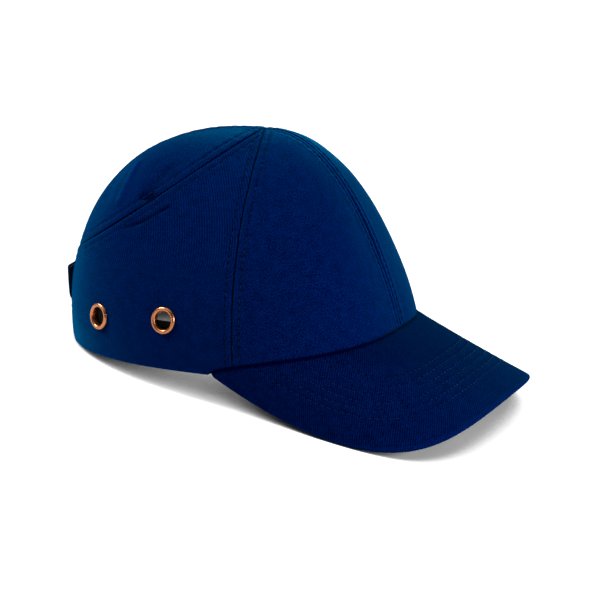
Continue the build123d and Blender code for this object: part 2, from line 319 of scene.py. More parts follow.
def seam_curves():
    """The seams of the wearer's left half, from hem or opening to tip, as evenly spaced points."""
    front_t = hem_t(np.array([math.radians(77.4)]))[0]
    front_run = front_t + (1 - front_t) * SEAM_T
    front = crown(front_seam_phi(front_run), front_run)
    arch_start = bisect(np.array([0.1]), np.array([0.6]), lambda t: arch_phi(t) < rear_seam_phi(t))[0]
    rear_run = arch_start + (1 - arch_start) * SEAM_T
    rear = crown(rear_seam_phi(rear_run), rear_run)
    centre_t = hem_t(np.array([0.0]))[0]
    centre_run = centre_t + (1 - centre_t) * SEAM_T
    centre_front = crown(np.zeros(241), centre_run)
    back_t = t_at(math.pi, ARCH_HEIGHT)
    back_run = back_t + (1 - back_t) * SEAM_T
    centre_rear = crown(np.full(241, math.pi), back_run)
    curves = {"front": front, "rear": rear, "centre_front": centre_front, "centre_rear": centre_rear}
    return {name: resample(curve, 0.6) for name, curve in curves.items()}, arch_start


SEAMS, ARCH_MEETS_SEAM = seam_curves()


# ---------------------------------------------------------------- meshes
def make_mesh(name, points, faces, uv=None, wear_and_shading=None):
    """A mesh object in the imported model's frame. Points, and uv for each, are in millimetres."""
    mesh = bpy.data.meshes.new(name)
    mesh.from_pydata(rest(points).tolist(), [], [list(f) for f in faces])
    if uv is not None:
        layer = mesh.uv_layers.new(name="weave")
        corners = np.zeros(len(mesh.loops), np.int32)
        mesh.loops.foreach_get("vertex_index", corners)
        layer.data.foreach_set("uv", np.asarray(uv, np.float32)[corners].ravel())
    # a per-point attribute for the twill's colour: rub wear, and also painted shade in creases, grooves and
    # joins and painted highlights on ridges
    attribute = mesh.attributes.new("wear_and_shading", "FLOAT", "POINT")
    values = np.zeros(len(points)) if wear_and_shading is None else wear_and_shading
    attribute.data.foreach_set("value", np.asarray(values, np.float32))
    mesh.polygons.foreach_set("use_smooth", np.ones(len(mesh.polygons), bool))
    mesh.update()
    piece = bpy.data.objects.new(name, mesh)
    bpy.context.scene.collection.objects.link(piece)
    return piece


def merge_close(piece, gap=2e-6):
    """Welds points that coincide, such as those at the crown's tip, and drops faces left with no area."""
    work = bmesh.new()
    work.from_mesh(piece.data)
    bmesh.ops.remove_doubles(work, verts=work.verts, dist=gap)
    bmesh.ops.dissolve_degenerate(work, edges=work.edges, dist=gap)
    work.to_mesh(piece.data)
    work.free()
    return piece


def grid_faces(rows, columns, close_rows=False, close_columns=False):
    index = np.arange(rows * columns).reshape(rows, columns)
    if close_rows:
        index = np.concatenate([index, index[:1]], 0)
    if close_columns:
        index = np.concatenate([index, index[:, :1]], 1)
    return np.stack([index[:-1, :-1], index[:-1, 1:], index[1:, 1:], index[1:, :-1]], -1)


def sheet_piece(name, outer, inner, uv, wear_and_shading=None, keep=None):
    """A closed skin between two grids of points: an outer side, an inner side and walls all round."""
    rows, columns = outer.shape[:2]
    count = rows * columns
    quads = grid_faces(rows, columns)
    if keep is not None:
        quads = quads[keep]
    quads = quads.reshape(-1, 4)
    starts, ends = quads.ravel(), np.roll(quads, -1, axis=1).ravel()
    border = ~np.isin(starts.astype(np.int64) * count + ends, ends.astype(np.int64) * count + starts)
    a, b = starts[border], ends[border]
    walls = np.stack([b, a, a + count, b + count], -1)
    faces = np.concatenate([quads, quads[:, ::-1] + count, walls])
    points = np.concatenate([outer.reshape(-1, 3), inner.reshape(-1, 3)])
    wear_and_shading = np.zeros((rows, columns)) if wear_and_shading is None else wear_and_shading
    used = np.unique(faces)
    renumber = np.zeros(len(points), np.int64)
    renumber[used] = np.arange(len(used))
    uv = np.concatenate([uv.reshape(-1, 2)] * 2)[used]
    wear_and_shading = np.concatenate([wear_and_shading.ravel()] * 2)[used]
    return merge_close(make_mesh(name, points[used], renumber[faces], uv, wear_and_shading))


def tube_piece(name, rings, uv, wear_and_shading=None, capped=True):
    """A closed body swept through rings of points (places x points round each x 3)."""
    places, around = rings.shape[:2]
    faces = [list(f) for f in grid_faces(places, around, close_columns=True).reshape(-1, 4)]
    if capped:
        faces.append(list(range(around))[::-1])
        faces.append(list(range((places - 1) * around, places * around)))
    wear_and_shading = None if wear_and_shading is None else wear_and_shading.ravel()
    return make_mesh(name, rings.reshape(-1, 3), faces, uv.reshape(-1, 2), wear_and_shading)


def finish_piece(piece, material, body, slot, *nodes):
    piece.data.materials.append(material)
    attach(piece, body)
    if nodes:
        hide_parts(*nodes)
    return piece


# ---------------------------------------------------------------- materials
def new_material(name, colour, roughness, metallic=0.0):
    material = bpy.data.materials.new(name)
    material.use_nodes = True
    shader = material.node_tree.nodes["Principled BSDF"]
    shader.inputs["Base Color"].default_value = (*colour, 1)
    shader.inputs["Roughness"].default_value = roughness
    shader.inputs["Metallic"].default_value = metallic
    return material, shader


def node(material, kind, **settings):
    made = material.node_tree.nodes.new(kind)
    for key, value in settings.items():
        setattr(made, key, value)
    return made


def plug(material, source, target):
    material.node_tree.links.new(source, target)


def maths(material, operation, first, second=None):
    """A Math node; each input is a socket or a number."""
    made = node(material, "ShaderNodeMath", operation=operation)
    for socket, value in zip(made.inputs, (first, second)):
        if value is None:
            continue
        if isinstance(value, (int, float)):
            socket.default_value = value
        else:
            plug(material, value, socket)
    return made.outputs[0]


def grain(material, place, scale, detail=2.0, roughness=0.6):
    """Noise about 0.5, in a coordinate's own units."""
    noise = node(material, "ShaderNodeTexNoise")
    noise.inputs["Scale"].default_value = scale
    noise.inputs["Detail"].default_value = detail
    noise.inputs["Roughness"].default_value = roughness
    plug(material, place, noise.inputs["Vector"])
    return noise.outputs["Fac"]


def ranged(material, value, low, high, new_low, new_high):
    made = node(material, "ShaderNodeMapRange")
    plug(material, value, made.inputs["Value"])
    for name, number in (("From Min", low), ("From Max", high), ("To Min", new_low), ("To Max", new_high)):
        made.inputs[name].default_value = number
    return made.outputs["Result"]


def tinted(material, factor, dark, light):
    """A colour between two, by a factor from 0 to 1."""
    ramp = node(material, "ShaderNodeValToRGB")
    ramp.color_ramp.elements[0].color = (*dark, 1)
    ramp.color_ramp.elements[1].color = (*light, 1)
    plug(material, factor, ramp.inputs["Fac"])
    return ramp.outputs["Color"]


def summed(material, total, *others):
    for other in others:
        total = maths(material, "ADD", total, other)
    return total


def bumped(material, shader, height, distance, strength=1.0):
    bump = node(material, "ShaderNodeBump")
    bump.inputs["Distance"].default_value = distance
    bump.inputs["Strength"].default_value = strength
    plug(material, height, bump.inputs["Height"])
    plug(material, bump.outputs["Normal"], shader.inputs["Normal"])


def weave_place(material):
    """The weave's own coordinates, in millimetres along and across the cloth."""
    uv = node(material, "ShaderNodeUVMap", uv_map="weave")
    split = node(material, "ShaderNodeSeparateXYZ")
    plug(material, uv.outputs["UV"], split.inputs["Vector"])
    return uv.outputs["UV"], split.outputs["X"], split.outputs["Y"]


def slanted_wave(material, u, v, pitch, degrees):
    """A sine wave from -1 to 1 whose lines lean over by degrees from the cloth's width."""
    across = maths(material, "MULTIPLY", u, 2 * math.pi / pitch * math.sin(math.radians(degrees)))
    along = maths(material, "MULTIPLY", v, 2 * math.pi / pitch * math.cos(math.radians(degrees)))
    return maths(material, "SINE", maths(material, "ADD", across, along))


SHEEN_BLUE = (0.0, 0.25, 0.50, 1)


def twill(name, dark, light, pitch=1.25, sheen=0.58, relief=0.12):
    """Cotton twill: fine diagonal ribs crossed by threads, mottled, and paler or darker by a per-point
    attribute that holds rub wear together with painted shade and painted highlights.
    """
    material, shader = new_material(name, light, 0.85)
    uv, u, v = weave_place(material)
    ribs = slanted_wave(material, u, v, pitch, 52)
    threads = slanted_wave(material, u, v, pitch * 0.47, -28)
    fibres = grain(material, uv, 2.9, 3.0)
    blotches = grain(material, uv, 0.16, 3.0)
    slubs = grain(material, uv, 1.05, 2.0)
    # adds the per-point rub wear, painted shade and painted highlights into the colour
    wear_and_shading = node(material, "ShaderNodeAttribute", attribute_name="wear_and_shading")
    height = summed(material, maths(material, "MULTIPLY", ribs, 0.38),
                    maths(material, "MULTIPLY", threads, 0.16),
                    maths(material, "MULTIPLY", fibres, 0.9))
    tone = summed(material, maths(material, "MULTIPLY", ribs, 0.27),
                  maths(material, "MULTIPLY", threads, 0.10),
                  ranged(material, fibres, 0.3, 0.7, 0.12, 0.68),
                  ranged(material, blotches, 0.3, 0.7, -0.14, 0.14),
                  ranged(material, slubs, 0.3, 0.7, -0.45, 0.45),
                  maths(material, "MULTIPLY", wear_and_shading.outputs["Fac"], 0.55))
    plug(material, tinted(material, tone, dark, light), shader.inputs["Base Color"])
    plug(material, ranged(material, fibres, 0.3, 0.7, 0.78, 0.95), shader.inputs["Roughness"])
    shader.inputs["Sheen Weight"].default_value = sheen
    shader.inputs["Sheen Roughness"].default_value = 0.34
    shader.inputs["Sheen Tint"].default_value = SHEEN_BLUE
    shader.inputs["Specular IOR Level"].default_value = 0.0
    bumped(material, shader, height, relief * MM)
    return material


def thread_material(name, dark, light):
    """Twisted sewing thread, two strands."""
    material, shader = new_material(name, light, 0.6)
    _, u, v = weave_place(material)
    twist = slanted_wave(material, u, v, 0.34, 55)
    tone = ranged(material, twist, -1, 1, 0.15, 0.85)
    plug(material, tinted(material, tone, dark, light), shader.inputs["Base Color"])
    shader.inputs["Specular IOR Level"].default_value = 0.1
    shader.inputs["Specular Tint"].default_value = SHEEN_BLUE
    shader.inputs["Sheen Weight"].default_value = 0.12
    shader.inputs["Sheen Tint"].default_value = SHEEN_BLUE
    bumped(material, shader, twist, 0.04 * MM)
    return material


crown_twill = twill("navy_crown_twill", (0.0, 0.0, 0.012), (0.0, 0.0082, 0.070))
# painted shade: the visor's cloth is the crown's twill painted darker, for the light that falls on the
# visor's upturned top
visor_twill = twill("navy_visor_twill", (0.0, 0.0, 0.009), (0.0, 0.0060, 0.052), sheen=0.13)
binding_twill = twill("navy_binding", (0.0, 0.0, 0.015), (0.0, 0.011, 0.080), pitch=0.9, relief=0.08)
strap_twill = twill("navy_strap", (0.0, 0.0, 0.016), (0.0, 0.012, 0.085), pitch=1.0)
navy_thread = thread_material("navy_thread", (0.0, 0.001, 0.014), (0.0, 0.008, 0.058))


# ---------------------------------------------------------------- eyelet seats
def eyelet_seat(place, side):
    """The eyelet's centre and its outward axis, and two directions across it."""
    angle, height = EYELET_PLACES[place]
    phi = np.array([SIDE_SIGNS[side] * math.radians(angle)])
    t = t_at(phi, height)
    axis = crown_normal(phi, t)[0]
    across = unit(np.cross([0, 0, 1], axis))
    return crown(phi, t)[0], axis, across, np.cross(axis, across)


EYELET_HOLE_R = 6.0
EYELET_FACE_R = 6.6
EYELET_SEATS = [eyelet_seat(place, "left") for place in EYELET_PLACES]


# ---------------------------------------------------------------- the six crown panels
NEAR_SEAM = [0, 0.3, 0.6, 0.95, 1.4, 2.0, 2.7, 3.3, 3.7, 4.0, 4.2, 4.4, 4.7, 5.1, 5.6, 6.4, 7.6, 9.2, 11]
NEAR_REAR_SEAM = [1.25 * d for d in NEAR_SEAM]
ROW_STEP = 1.1
COLUMN_STEP = 1.5
HEM_ROWS = [0, 0.25, 0.5, 0.8, 1.2, 1.8, 2.6]


def spread(width, near_first, near_last, middle):
    """Distances of a row's columns from its first edge, crowded near both edges."""
    reach = near_first[-1] + near_last[-1]
    squeeze = min(1.0, width / (reach + 4.0))
    first = np.array(near_first) * squeeze
    last = width - np.array(near_last)[::-1] * squeeze
    between = np.linspace(first[-1], last[0], middle + 2)[1:-1]
    return np.concatenate([first, between, last])


def panel_grid(place, near_first, near_last):
    """phi and t over a panel. place(u, s) gives them: u runs from edge to edge, s from hem to tip."""
    climb = np.linspace(0, 1, 400)
    phi, t = place(np.full(400, 0.5), climb)
    length = arc_length(crown(phi, t))
    count = int((length[-1] - HEM_ROWS[-1]) / ROW_STEP)
    rows = np.concatenate([HEM_ROWS, np.linspace(HEM_ROWS[-1], length[-1], count)[1:]])
    shares = np.interp(rows, length, climb)
    shares[-1] = 1
    across = np.linspace(0, 1, 90)
    grid_phi, grid_t, widths = [], [], []
    for share in shares:
        phi, t = place(across, np.full(90, share))
        widths.append(arc_length(crown(phi, t)))
    middle = int((max(w[-1] for w in widths) - near_first[-1] - near_last[-1]) / COLUMN_STEP)
    for share, width in zip(shares, widths):
        u = np.linspace(0, 1, len(near_first) + len(near_last) + middle)
        if width[-1] > 0.05:
            u = np.interp(spread(width[-1], near_first, near_last, middle), width, across)
        phi, t = place(u, np.full(len(u), share))
        grid_phi.append(phi)
        grid_t.append(t)
    return np.array(grid_phi), np.array(grid_t)


HEM_PHI = np.linspace(0, math.pi, 721)
HEM_T = hem_t(HEM_PHI)
FRONT_START = float(np.interp(math.radians(FRONT_SEAM_ANGLE), HEM_PHI, HEM_T))
ARCH_U = np.linspace(0, 1, 60)


def above(phi, s):
    start = np.interp(phi, HEM_PHI, HEM_T)
    return start + (1 - start) * s


def front_place(u, s):
    seam = front_seam_phi(FRONT_START + (1 - FRONT_START) * s)
    phi = u * seam
    return phi, above(phi, s)


SIDE_END_S = np.concatenate([np.linspace(0, ARCH_MEETS_SEAM, 200), np.linspace(ARCH_MEETS_SEAM, 1, 200)[1:]])
SIDE_END_PHI = np.where(SIDE_END_S < ARCH_MEETS_SEAM, arch_phi(SIDE_END_S), rear_seam_phi(SIDE_END_S))


def side_place(u, s):
    first = front_seam_phi(FRONT_START + (1 - FRONT_START) * s)
    last = np.interp(s, SIDE_END_S, SIDE_END_PHI)
    phi = first + (last - first) * u
    return phi, above(phi, s)


def rear_start():
    """Where the rear panel meets the top of the opening, across its width."""

    def is_below(t):
        seam = rear_seam_phi(t)
        p = crown(seam + (math.pi - seam) * ARCH_U, t)
        return (p[..., 2] < ARCH_HEIGHT) & (np.abs(p[..., 0]) < arch_half(p[..., 2]))

    return bisect(np.full(60, 0.1), np.full(60, 0.7), is_below)


REAR_START = rear_start()


def rear_place(u, s):
    start = np.interp(u, ARCH_U, REAR_START)
    t = start + (1 - start) * s
    seam = rear_seam_phi(t)
    return seam + (math.pi - seam) * u, t


def seam_relief(points, seam, stitch_at, seed):
    """Height of the cloth near a seam: a crease, a soft roll each side, and a sewn groove that puckers. Also
    its colour shift: painted shade in the crease and along the sewn groove, and a paler line just beside the
    crease.
    """
    distance, place = near_curve(points, SEAMS[seam])
    random = np.random.default_rng(seed)
    drift = random.uniform(0, 6, 3)
    beat = 2 * math.pi * place / STITCH_PITCH
    crease = -0.8 * np.exp(-(distance / 0.55) ** 2)
    roll = 0.26 * np.exp(-((distance - stitch_at * 0.5) / (stitch_at * 0.3)) ** 2)
    sewn = -0.42 * np.exp(-((distance - stitch_at) / 0.5) ** 2) * (0.66 + 0.34 * np.cos(beat))
    beyond = 0.2 * np.exp(-((distance - stitch_at - 1.9) / 1.4) ** 2)
    pucker = (0.10 * np.sin(2 * math.pi * place / 9.1 + drift[0] + 1.3 * np.sin(place / 17 + drift[1]))
              + 0.07 * np.sin(2 * math.pi * place / 5.3 + drift[2]))
    pucker = pucker * np.exp(-((distance - stitch_at) / 3.4) ** 2)
    # painted shade in the crease and along the sewn groove, darker at each stitch; a paler line just beside
    # the crease
    wear_and_shading = 0.22 * np.exp(-((distance - 1.1) / 0.5) ** 2) - 1.6 * np.exp(-(distance / 0.5) ** 2)
    wear_and_shading = wear_and_shading - 0.9 * np.exp(-((distance - stitch_at) / 0.5) ** 2) * (0.6 + 0.4 * np.cos(beat))
    return crease + roll + sewn + beyond + pucker, wear_and_shading


PANEL_SEAMS = {
    "front": (("centre_front", SEAM_STITCH), ("front", SEAM_STITCH)),
    "side": (("front", SEAM_STITCH), ("rear", REAR_SEAM_STITCH)),
    "rear": (("rear", REAR_SEAM_STITCH), ("centre_rear", SEAM_STITCH)),
}
PANEL_PLACES = {
    "front": (front_place, NEAR_SEAM, NEAR_SEAM),
    "side": (side_place, NEAR_SEAM, NEAR_REAR_SEAM),
    "rear": (rear_place, NEAR_REAR_SEAM, NEAR_SEAM),
}


# Creases in the cloth on the wearer's right fan out from where the rear seam is pulled in. Each one's places
# are mm behind and above that point, then come its height, its half-width and how much paler it is painted:
# positive for a painted highlight on a ridge, negative for painted shade in a dent or hollow.
PULL_CLIMB = 0.45           # share of the way from the hem to the tip
PULL_GIRTH = 82.0           # crown's radius there
PULL_WALL = 170.0           # length of the wall from hem to tip there
CREASES = [
    ([(15, 5), (30, 30)], 0.9, 2.6, 0.35),
    ([(30, 5), (40, 20)], -0.9, 8.0, 0.0),
    ([(-5, 10), (0, 10)], -1.9, 2.8, -1.5),
    ([(0, 15), (0, 30)], -0.5, 4.0, -0.3),
    ([(0, -10), (-10, -5), (-20, 5)], -0.8, 1.4, -0.8),
    ([(-10, -10), (-15, 0)], 0.5, 3.0, 0.0),
]
GATHER_REACH = 5.5
GATHER_PITCH = 2.6


def beside_pull(behind, above):
    start = rear_seam_phi(np.array([PULL_CLIMB]))
    return crown(start + behind / PULL_GIRTH, np.array([PULL_CLIMB + above / PULL_WALL]))[0]


def crease_relief(points):
    """Height of the creases and of the short gathers across the rear seam, and their painted light and shade.
    """
    height = np.zeros(points.shape[:-1])
    wear_and_shading = np.zeros(points.shape[:-1])
    for places, rise, half_width, shade in CREASES:
        line = np.array([beside_pull(*place) for place in places])
        distance, _ = near_curve(points, resample(line, 0.6))
        height = height + rise * np.exp(-(distance / half_width) ** 2)
        wear_and_shading = wear_and_shading + shade * np.exp(-(distance / half_width) ** 2)
    # the gathers lie one above another along the seam
    off = points - beside_pull(0, 0)
    near = np.exp(-(np.linalg.norm(off, axis=-1) / GATHER_REACH) ** 2)
    along_seam = unit(beside_pull(0, -5) - beside_pull(0, 5))
    gathers = near * np.sin(2 * math.pi * (off @ along_seam) / GATHER_PITCH)
    # the gathers' tops are painted paler and their hollows darker: painted highlight and painted shade
    return height + 0.36 * gathers, wear_and_shading + 0.5 * gathers


def panel_relief(name, side, points, phi, t):
    """Height of a panel's cloth above the crown's smooth surface, and its colour shift: painted shade and
    painted highlights at seams and creases, and a paler line beside each seam.
    """
    seed = {"front": 11, "side": 23, "rear": 37}[name] + (100 if side == "left" else 0)
    height = 0.30 * ripple(points, 34, seed) + 0.10 * ripple(points, 12, seed + 1)
    height = height * smooth_step(1 - t, 0.02, 0.2)
    wear_and_shading = np.zeros(phi.shape)
    if side == "right" and name != "front":
        creases, wear_and_shading = crease_relief(points)
        height = height + creases
    for number, (seam, stitch_at) in enumerate(PANEL_SEAMS[name]):
        lift, seam_painted_shading = seam_relief(points, seam, stitch_at, seed + 5 + number)
        height = height + lift
        wear_and_shading = wear_and_shading + seam_painted_shading
    from_tip = np.linalg.norm(points - np.array([0, 0, HEIGHT]), axis=-1)
    height = height * smooth_step(from_tip, 0, 5) + 0.5 * np.exp(-(from_tip / 4.5) ** 2)
    return height, wear_and_shading


def hem_roll(points):
    """How far the cloth's edge turns in at the hem."""
    climb = np.linalg.norm(np.diff(points, axis=0), axis=-1)
    climb = np.concatenate([np.zeros((1, points.shape[1])), np.cumsum(climb, 0)])
    return climb, -0.45 * (1 - smooth_step(climb, 0, 0.9)) ** 2


def make_panel(name, side):
    place, near_first, near_last = PANEL_PLACES[name]
    phi, t = panel_grid(place, near_first, near_last)
    base = crown(phi, t)
    normal = crown_normal(phi, t)
    height, wear_and_shading = panel_relief(name, side, base, phi, t)
    climb, roll = hem_roll(base)
    if name != "rear":
        height = height * smooth_step(climb, 0, 4) + roll
        over_visor = visor_arch(phi) > 0.5
        # painted shade along the hem where it meets the visor; elsewhere the hem's edge is paler, rubbed
        wear_and_shading = wear_and_shading + np.where(over_visor, -1.6, 0.5) * np.exp(-(climb / 0.9) ** 2)
    keep = None
    inner = lies_at(phi, t, FABRIC)
    if name == "side":
        keep = np.ones((phi.shape[0] - 1, phi.shape[1] - 1), bool)
        for centre, axis, across, upward in EYELET_SEATS:
            off = base - centre
            flat = np.stack([off @ across, off @ upward], -1)
            radius = np.linalg.norm(flat, axis=-1)
            radius = np.where(np.abs(off @ axis) < 20, radius, 99)
            height = height * smooth_step(radius, 7, 11) - 0.1 * (1 - smooth_step(radius, 7.2, 9.5))
            corner = (radius[:-1, :-1] + radius[1:, :-1] + radius[:-1, 1:] + radius[1:, 1:]) / 4
            keep &= corner > EYELET_FACE_R
        rim_moves(base, inner, keep)
    outer = base + normal * height[..., None]
    middle = base.shape[1] // 2
    column_gap = np.linalg.norm(np.diff(base, axis=1), axis=-1)
    u = np.concatenate([np.zeros((len(phi), 1)), np.cumsum(column_gap, 1)], 1)
    u = u - u[:, middle:middle + 1]
    v = np.broadcast_to(climb[:, middle:middle + 1], phi.shape)
    if side == "right":
        flip = np.array([-1, 1, 1])
        outer, inner = (outer * flip)[:, ::-1], (inner * flip)[:, ::-1]
        u, v, wear_and_shading = -u[:, ::-1], v[:, ::-1], wear_and_shading[:, ::-1]
        keep = None if keep is None else keep[:, ::-1]
    node_name = f"{name}_panel_{side}"
    piece = sheet_piece("twill_" + node_name, outer, inner, np.stack([u, v], -1), wear_and_shading, keep)
    return finish_piece(piece, crown_twill, "cap", "crown_twill", node_name)


def rim_moves(base, inner, keep):
    """Pulls the ragged border of each eyelet's hole onto a circle."""
    rows, columns = base.shape[:2]
    kept, cut = np.zeros((rows, columns), bool), np.zeros((rows, columns), bool)
    for r, c in ((0, 0), (1, 0), (0, 1), (1, 1)):
        kept[r:rows - 1 + r, c:columns - 1 + c] |= keep
        cut[r:rows - 1 + r, c:columns - 1 + c] |= ~keep
    border = kept & cut
    for centre, axis, across, upward in EYELET_SEATS:
        for layer in (base, inner):
            off = layer - centre
            x, y = off @ across, off @ upward
            radius = np.hypot(x, y)
            near = border & (radius < 12) & (np.abs(off @ axis) < 20)
            pull = (EYELET_HOLE_R / np.maximum(radius, 1e-6) - 1)[..., None]
            layer[near] += (pull * (x[..., None] * across + y[..., None] * upward))[near]


for panel_name in PANEL_PLACES:
    for side_name in SIDE_SIGNS:
        make_panel(panel_name, side_name)


# ---------------------------------------------------------------- stitching
RING = np.linspace(0, 2 * math.pi, 7)[:-1]
STITCH_PLACES = np.linspace(0, 1, 6)


def stitch_bodies(points, normals, pitch, length, thread, margin=0.0):
    """Rings of points for each stitch along a line; a stitch rises out of the cloth and dives back in."""
    along = arc_length(points)
    count = int((along[-1] - 2 * margin) / pitch)
    if count < 1:
        return np.zeros((0, 6, 6, 3))
    start = (along[-1] - count * pitch) / 2 + (pitch - length) / 2
    places = start + pitch * np.arange(count)[:, None] + length * STITCH_PLACES
    middle = np.stack([np.interp(places, along, points[:, i]) for i in range(3)], -1)
    normal = unit(np.stack([np.interp(places, along, normals[:, i]) for i in range(3)], -1))
    tangent = unit(np.gradient(middle, axis=1))
    side = unit(np.cross(tangent, normal))
    rise = np.sin(math.pi * STITCH_PLACES) ** 0.7
    middle = middle + normal * (thread * (0.62 * rise - 0.55))[None, :, None]
    radius = thread / 2 * (0.6 + 0.4 * rise)
    ring = (np.cos(RING)[:, None] * side[:, :, None, :] + np.sin(RING)[:, None] * normal[:, :, None, :])
    return middle[:, :, None, :] + ring * radius[None, :, None, None]


def tube_bundle(name, bodies, uv):
    """Many short closed tubes as one mesh. bodies holds, for each, its rings of points."""
    count, rings, sides = bodies.shape[:3]
    first = rings * sides * np.arange(count)[:, None]
    tube = grid_faces(rings, sides, close_columns=True).reshape(-1, 4)
    walls = (tube[None] + first[:, :, None]).reshape(-1, 4)
    near = np.arange(sides)[::-1][None] + first
    far = np.arange((rings - 1) * sides, rings * sides)[None] + first
    return make_mesh(name, bodies.reshape(-1, 3), walls.tolist() + near.tolist() + far.tolist(), uv)


def stitch_mesh(name, runs, pitch=STITCH_PITCH, length=STITCH_LENGTH, thread=THREAD, margin=0.0):
    """Every stitch along several lines, each line a pair of points and normals."""
    bodies = np.concatenate([stitch_bodies(p, n, pitch, length, thread, margin) for p, n in runs])
    shape = bodies.shape[:3]
    along = np.broadcast_to((length * STITCH_PLACES)[None, :, None], shape)
    round_it = np.broadcast_to((RING * thread / 2)[None, None], shape)
    return tube_bundle(name, bodies, np.stack([round_it, along], -1).reshape(-1, 2))


def stitching(name, runs, body="cap", slot="crown_twill", material=navy_thread, **sewing):
    """One piece of sewing on one body."""
    return finish_piece(stitch_mesh(name, runs, **sewing), material, body, slot)


def mirrored(run):
    points, normals = run
    flip = np.array([-1, 1, 1])
    return (points * flip)[::-1], (normals * flip)[::-1]


def beside(curve, distance, lift=0.0):
    """A line on the crown beside a curve, towards larger phi where distance is positive, with its normals."""
    phi, t = onto_crown(curve)
    normal = crown_normal(phi, t)
    tangent = unit(np.gradient(curve, axis=0))
    sideways = unit(np.cross(tangent, normal))
    phi, t = onto_crown(curve + sideways * distance)
    normal = crown_normal(phi, t)
    return crown(phi, t) + normal * lift, normal


STITCH_LIFT = -0.16
TIP_MARGIN = 10             # points of a seam left without stitches at the crown's tip
seam_runs = []
for seam_name, stitch_at in (("front", SEAM_STITCH), ("rear", REAR_SEAM_STITCH)):
    for direction in (-1, 1):
        run = beside(SEAMS[seam_name][4:-TIP_MARGIN], direction * stitch_at, STITCH_LIFT)
        seam_runs += [run, mirrored(run)]
for seam_name in ("centre_front", "centre_rear"):
    run = beside(SEAMS[seam_name][4:-TIP_MARGIN], SEAM_STITCH, STITCH_LIFT)
    seam_runs += [run, mirrored(run)]
stitching("crown_topstitching", seam_runs)


# ---------------------------------------------------------------- eyelets
def turned_piece(name, profile, seat, material, slot, node_name, segments=72):
    """A ring turned about an eyelet's axis from a closed profile of (radius, height)."""
    centre, axis, across, upward = seat
    turns = np.linspace(0, 2 * math.pi, segments + 1)[:-1]
    radial = np.cos(turns)[:, None] * across + np.sin(turns)[:, None] * upward
    profile = np.array(profile)
    rings = centre + radial[:, None] * profile[None, :, :1] + axis * profile[None, :, 1:]
    faces = grid_faces(segments, len(profile), close_rows=True, close_columns=True).reshape(-1, 4)
    lengths = arc_length(profile)
    uv = np.stack(np.broadcast_arrays((turns * EYELET_R)[:, None], lengths[None]), -1)
    piece = make_mesh(name, rings.reshape(-1, 3), faces[:, ::-1], uv.reshape(-1, 2))
    return finish_piece(piece, material, "cap", slot, node_name)


def eyelet_profile():
    """A round flange, a lip, a barrel and an end rolled over the washer, as (radius, height)."""
    crown_r, half, rise = 6.62, 1.22, 1.35
    flange = [(crown_r + half * math.cos(a), 0.12 + rise * math.sin(a) ** 0.8)
              for a in np.linspace(0.02, math.pi - 0.02, 22)]
    lip = [(EYELET_BORE_R + 0.1, 0.0), (EYELET_BORE_R, -0.3), (EYELET_BORE_R, -1.9)]
    roll = [(EYELET_BORE_R + 0.55 - 0.55 * math.cos(a), -1.95 - 0.5 * math.sin(a))
            for a in np.linspace(0, math.pi, 9)]
    back = [(6.6, -2.1), (BARREL_R + 0.15, -2.05), (BARREL_R, -1.8),
            (BARREL_R, -0.2), (BARREL_R + 0.2, 0.02), (EYELET_R, 0.0)]
    return flange + lip + roll + back


def copper_material(name, dark, light, roughness):
    """Antiqued copper plate: a mottled tone, with fine drawing marks and a few dull spots."""
    material, shader = new_material(name, light, roughness, metallic=1.0)
    place = node(material, "ShaderNodeTexCoord").outputs["Object"]
    spots = grain(material, place, 900, 4.0)
    smear = grain(material, place, 260, 3.0)
    tone = summed(material, ranged(material, spots, 0.35, 0.7, 0.2, 0.75),
                  ranged(material, smear, 0.3, 0.7, -0.1, 0.25))
    plug(material, tinted(material, tone, dark, light), shader.inputs["Base Color"])
    gloss = ranged(material, smear, 0.3, 0.7, roughness - 0.08, roughness + 0.14)
    plug(material, gloss, shader.inputs["Roughness"])
    bumped(material, shader, spots, 0.02 * MM)
    return material


eyelet_copper = copper_material("antique_copper", (0.25, 0.078, 0.029), (0.53, 0.205, 0.088), 0.26)
washer_copper = copper_material("copper_washer", (0.28, 0.12, 0.06), (0.6, 0.32, 0.19), 0.45)
WASHER_PROFILE = [(5.85, -1.95), (5.85, -1.5), (6.0, -1.4), (7.6, -1.25),
                  (7.8, -1.4), (7.8, -1.6), (6.9, -1.95)]

for side_name in SIDE_SIGNS:
    for place_name in EYELET_PLACES:
        seat = eyelet_seat(place_name, side_name)
        label = f"{place_name}_{side_name}"
        turned_piece("copper_eyelet_" + label, eyelet_profile(), seat, eyelet_copper,
                     "eyelet_copper", "eyelet_" + label)
        turned_piece("washer_" + label, WASHER_PROFILE, seat, washer_copper,
                     "washer", "eyelet_washer_" + label)


# ---------------------------------------------------------------- visor
ACROSS_TABLE = np.linspace(0, 1, 400)
ROOT_PHI = np.radians(VISOR_HALF_ANGLE) * ACROSS_TABLE
VISOR_ROOT = crown(ROOT_PHI, np.interp(ROOT_PHI, HEM_PHI, HEM_T))


def visor_edge(share):
    share = np.asarray(share)[..., None]
    rest_share = 1 - share
    start = VISOR_ROOT[-1]
    end = np.array([0, VISOR_FRONT[1], VISOR_FRONT[2]])
    return (start * rest_share ** 3 + np.array(VISOR_SIDE) * 3 * rest_share ** 2 * share
            + np.array(VISOR_FRONT) * 3 * rest_share * share ** 2 + end * share ** 3)


def visor(across, out):
    """Top of the visor: across from -1 on the right to 1 on the left, out from crown to edge."""
    across, out = np.broadcast_arrays(np.asarray(across, float), np.asarray(out, float))
    root = np.stack([np.interp(np.abs(across), ACROSS_TABLE, VISOR_ROOT[:, i]) for i in range(3)], -1)
    point = root * (1 - out[..., None]) + visor_edge(1 - np.abs(across)) * out[..., None]
    point[..., 0] = np.copysign(point[..., 0], across)
    return point


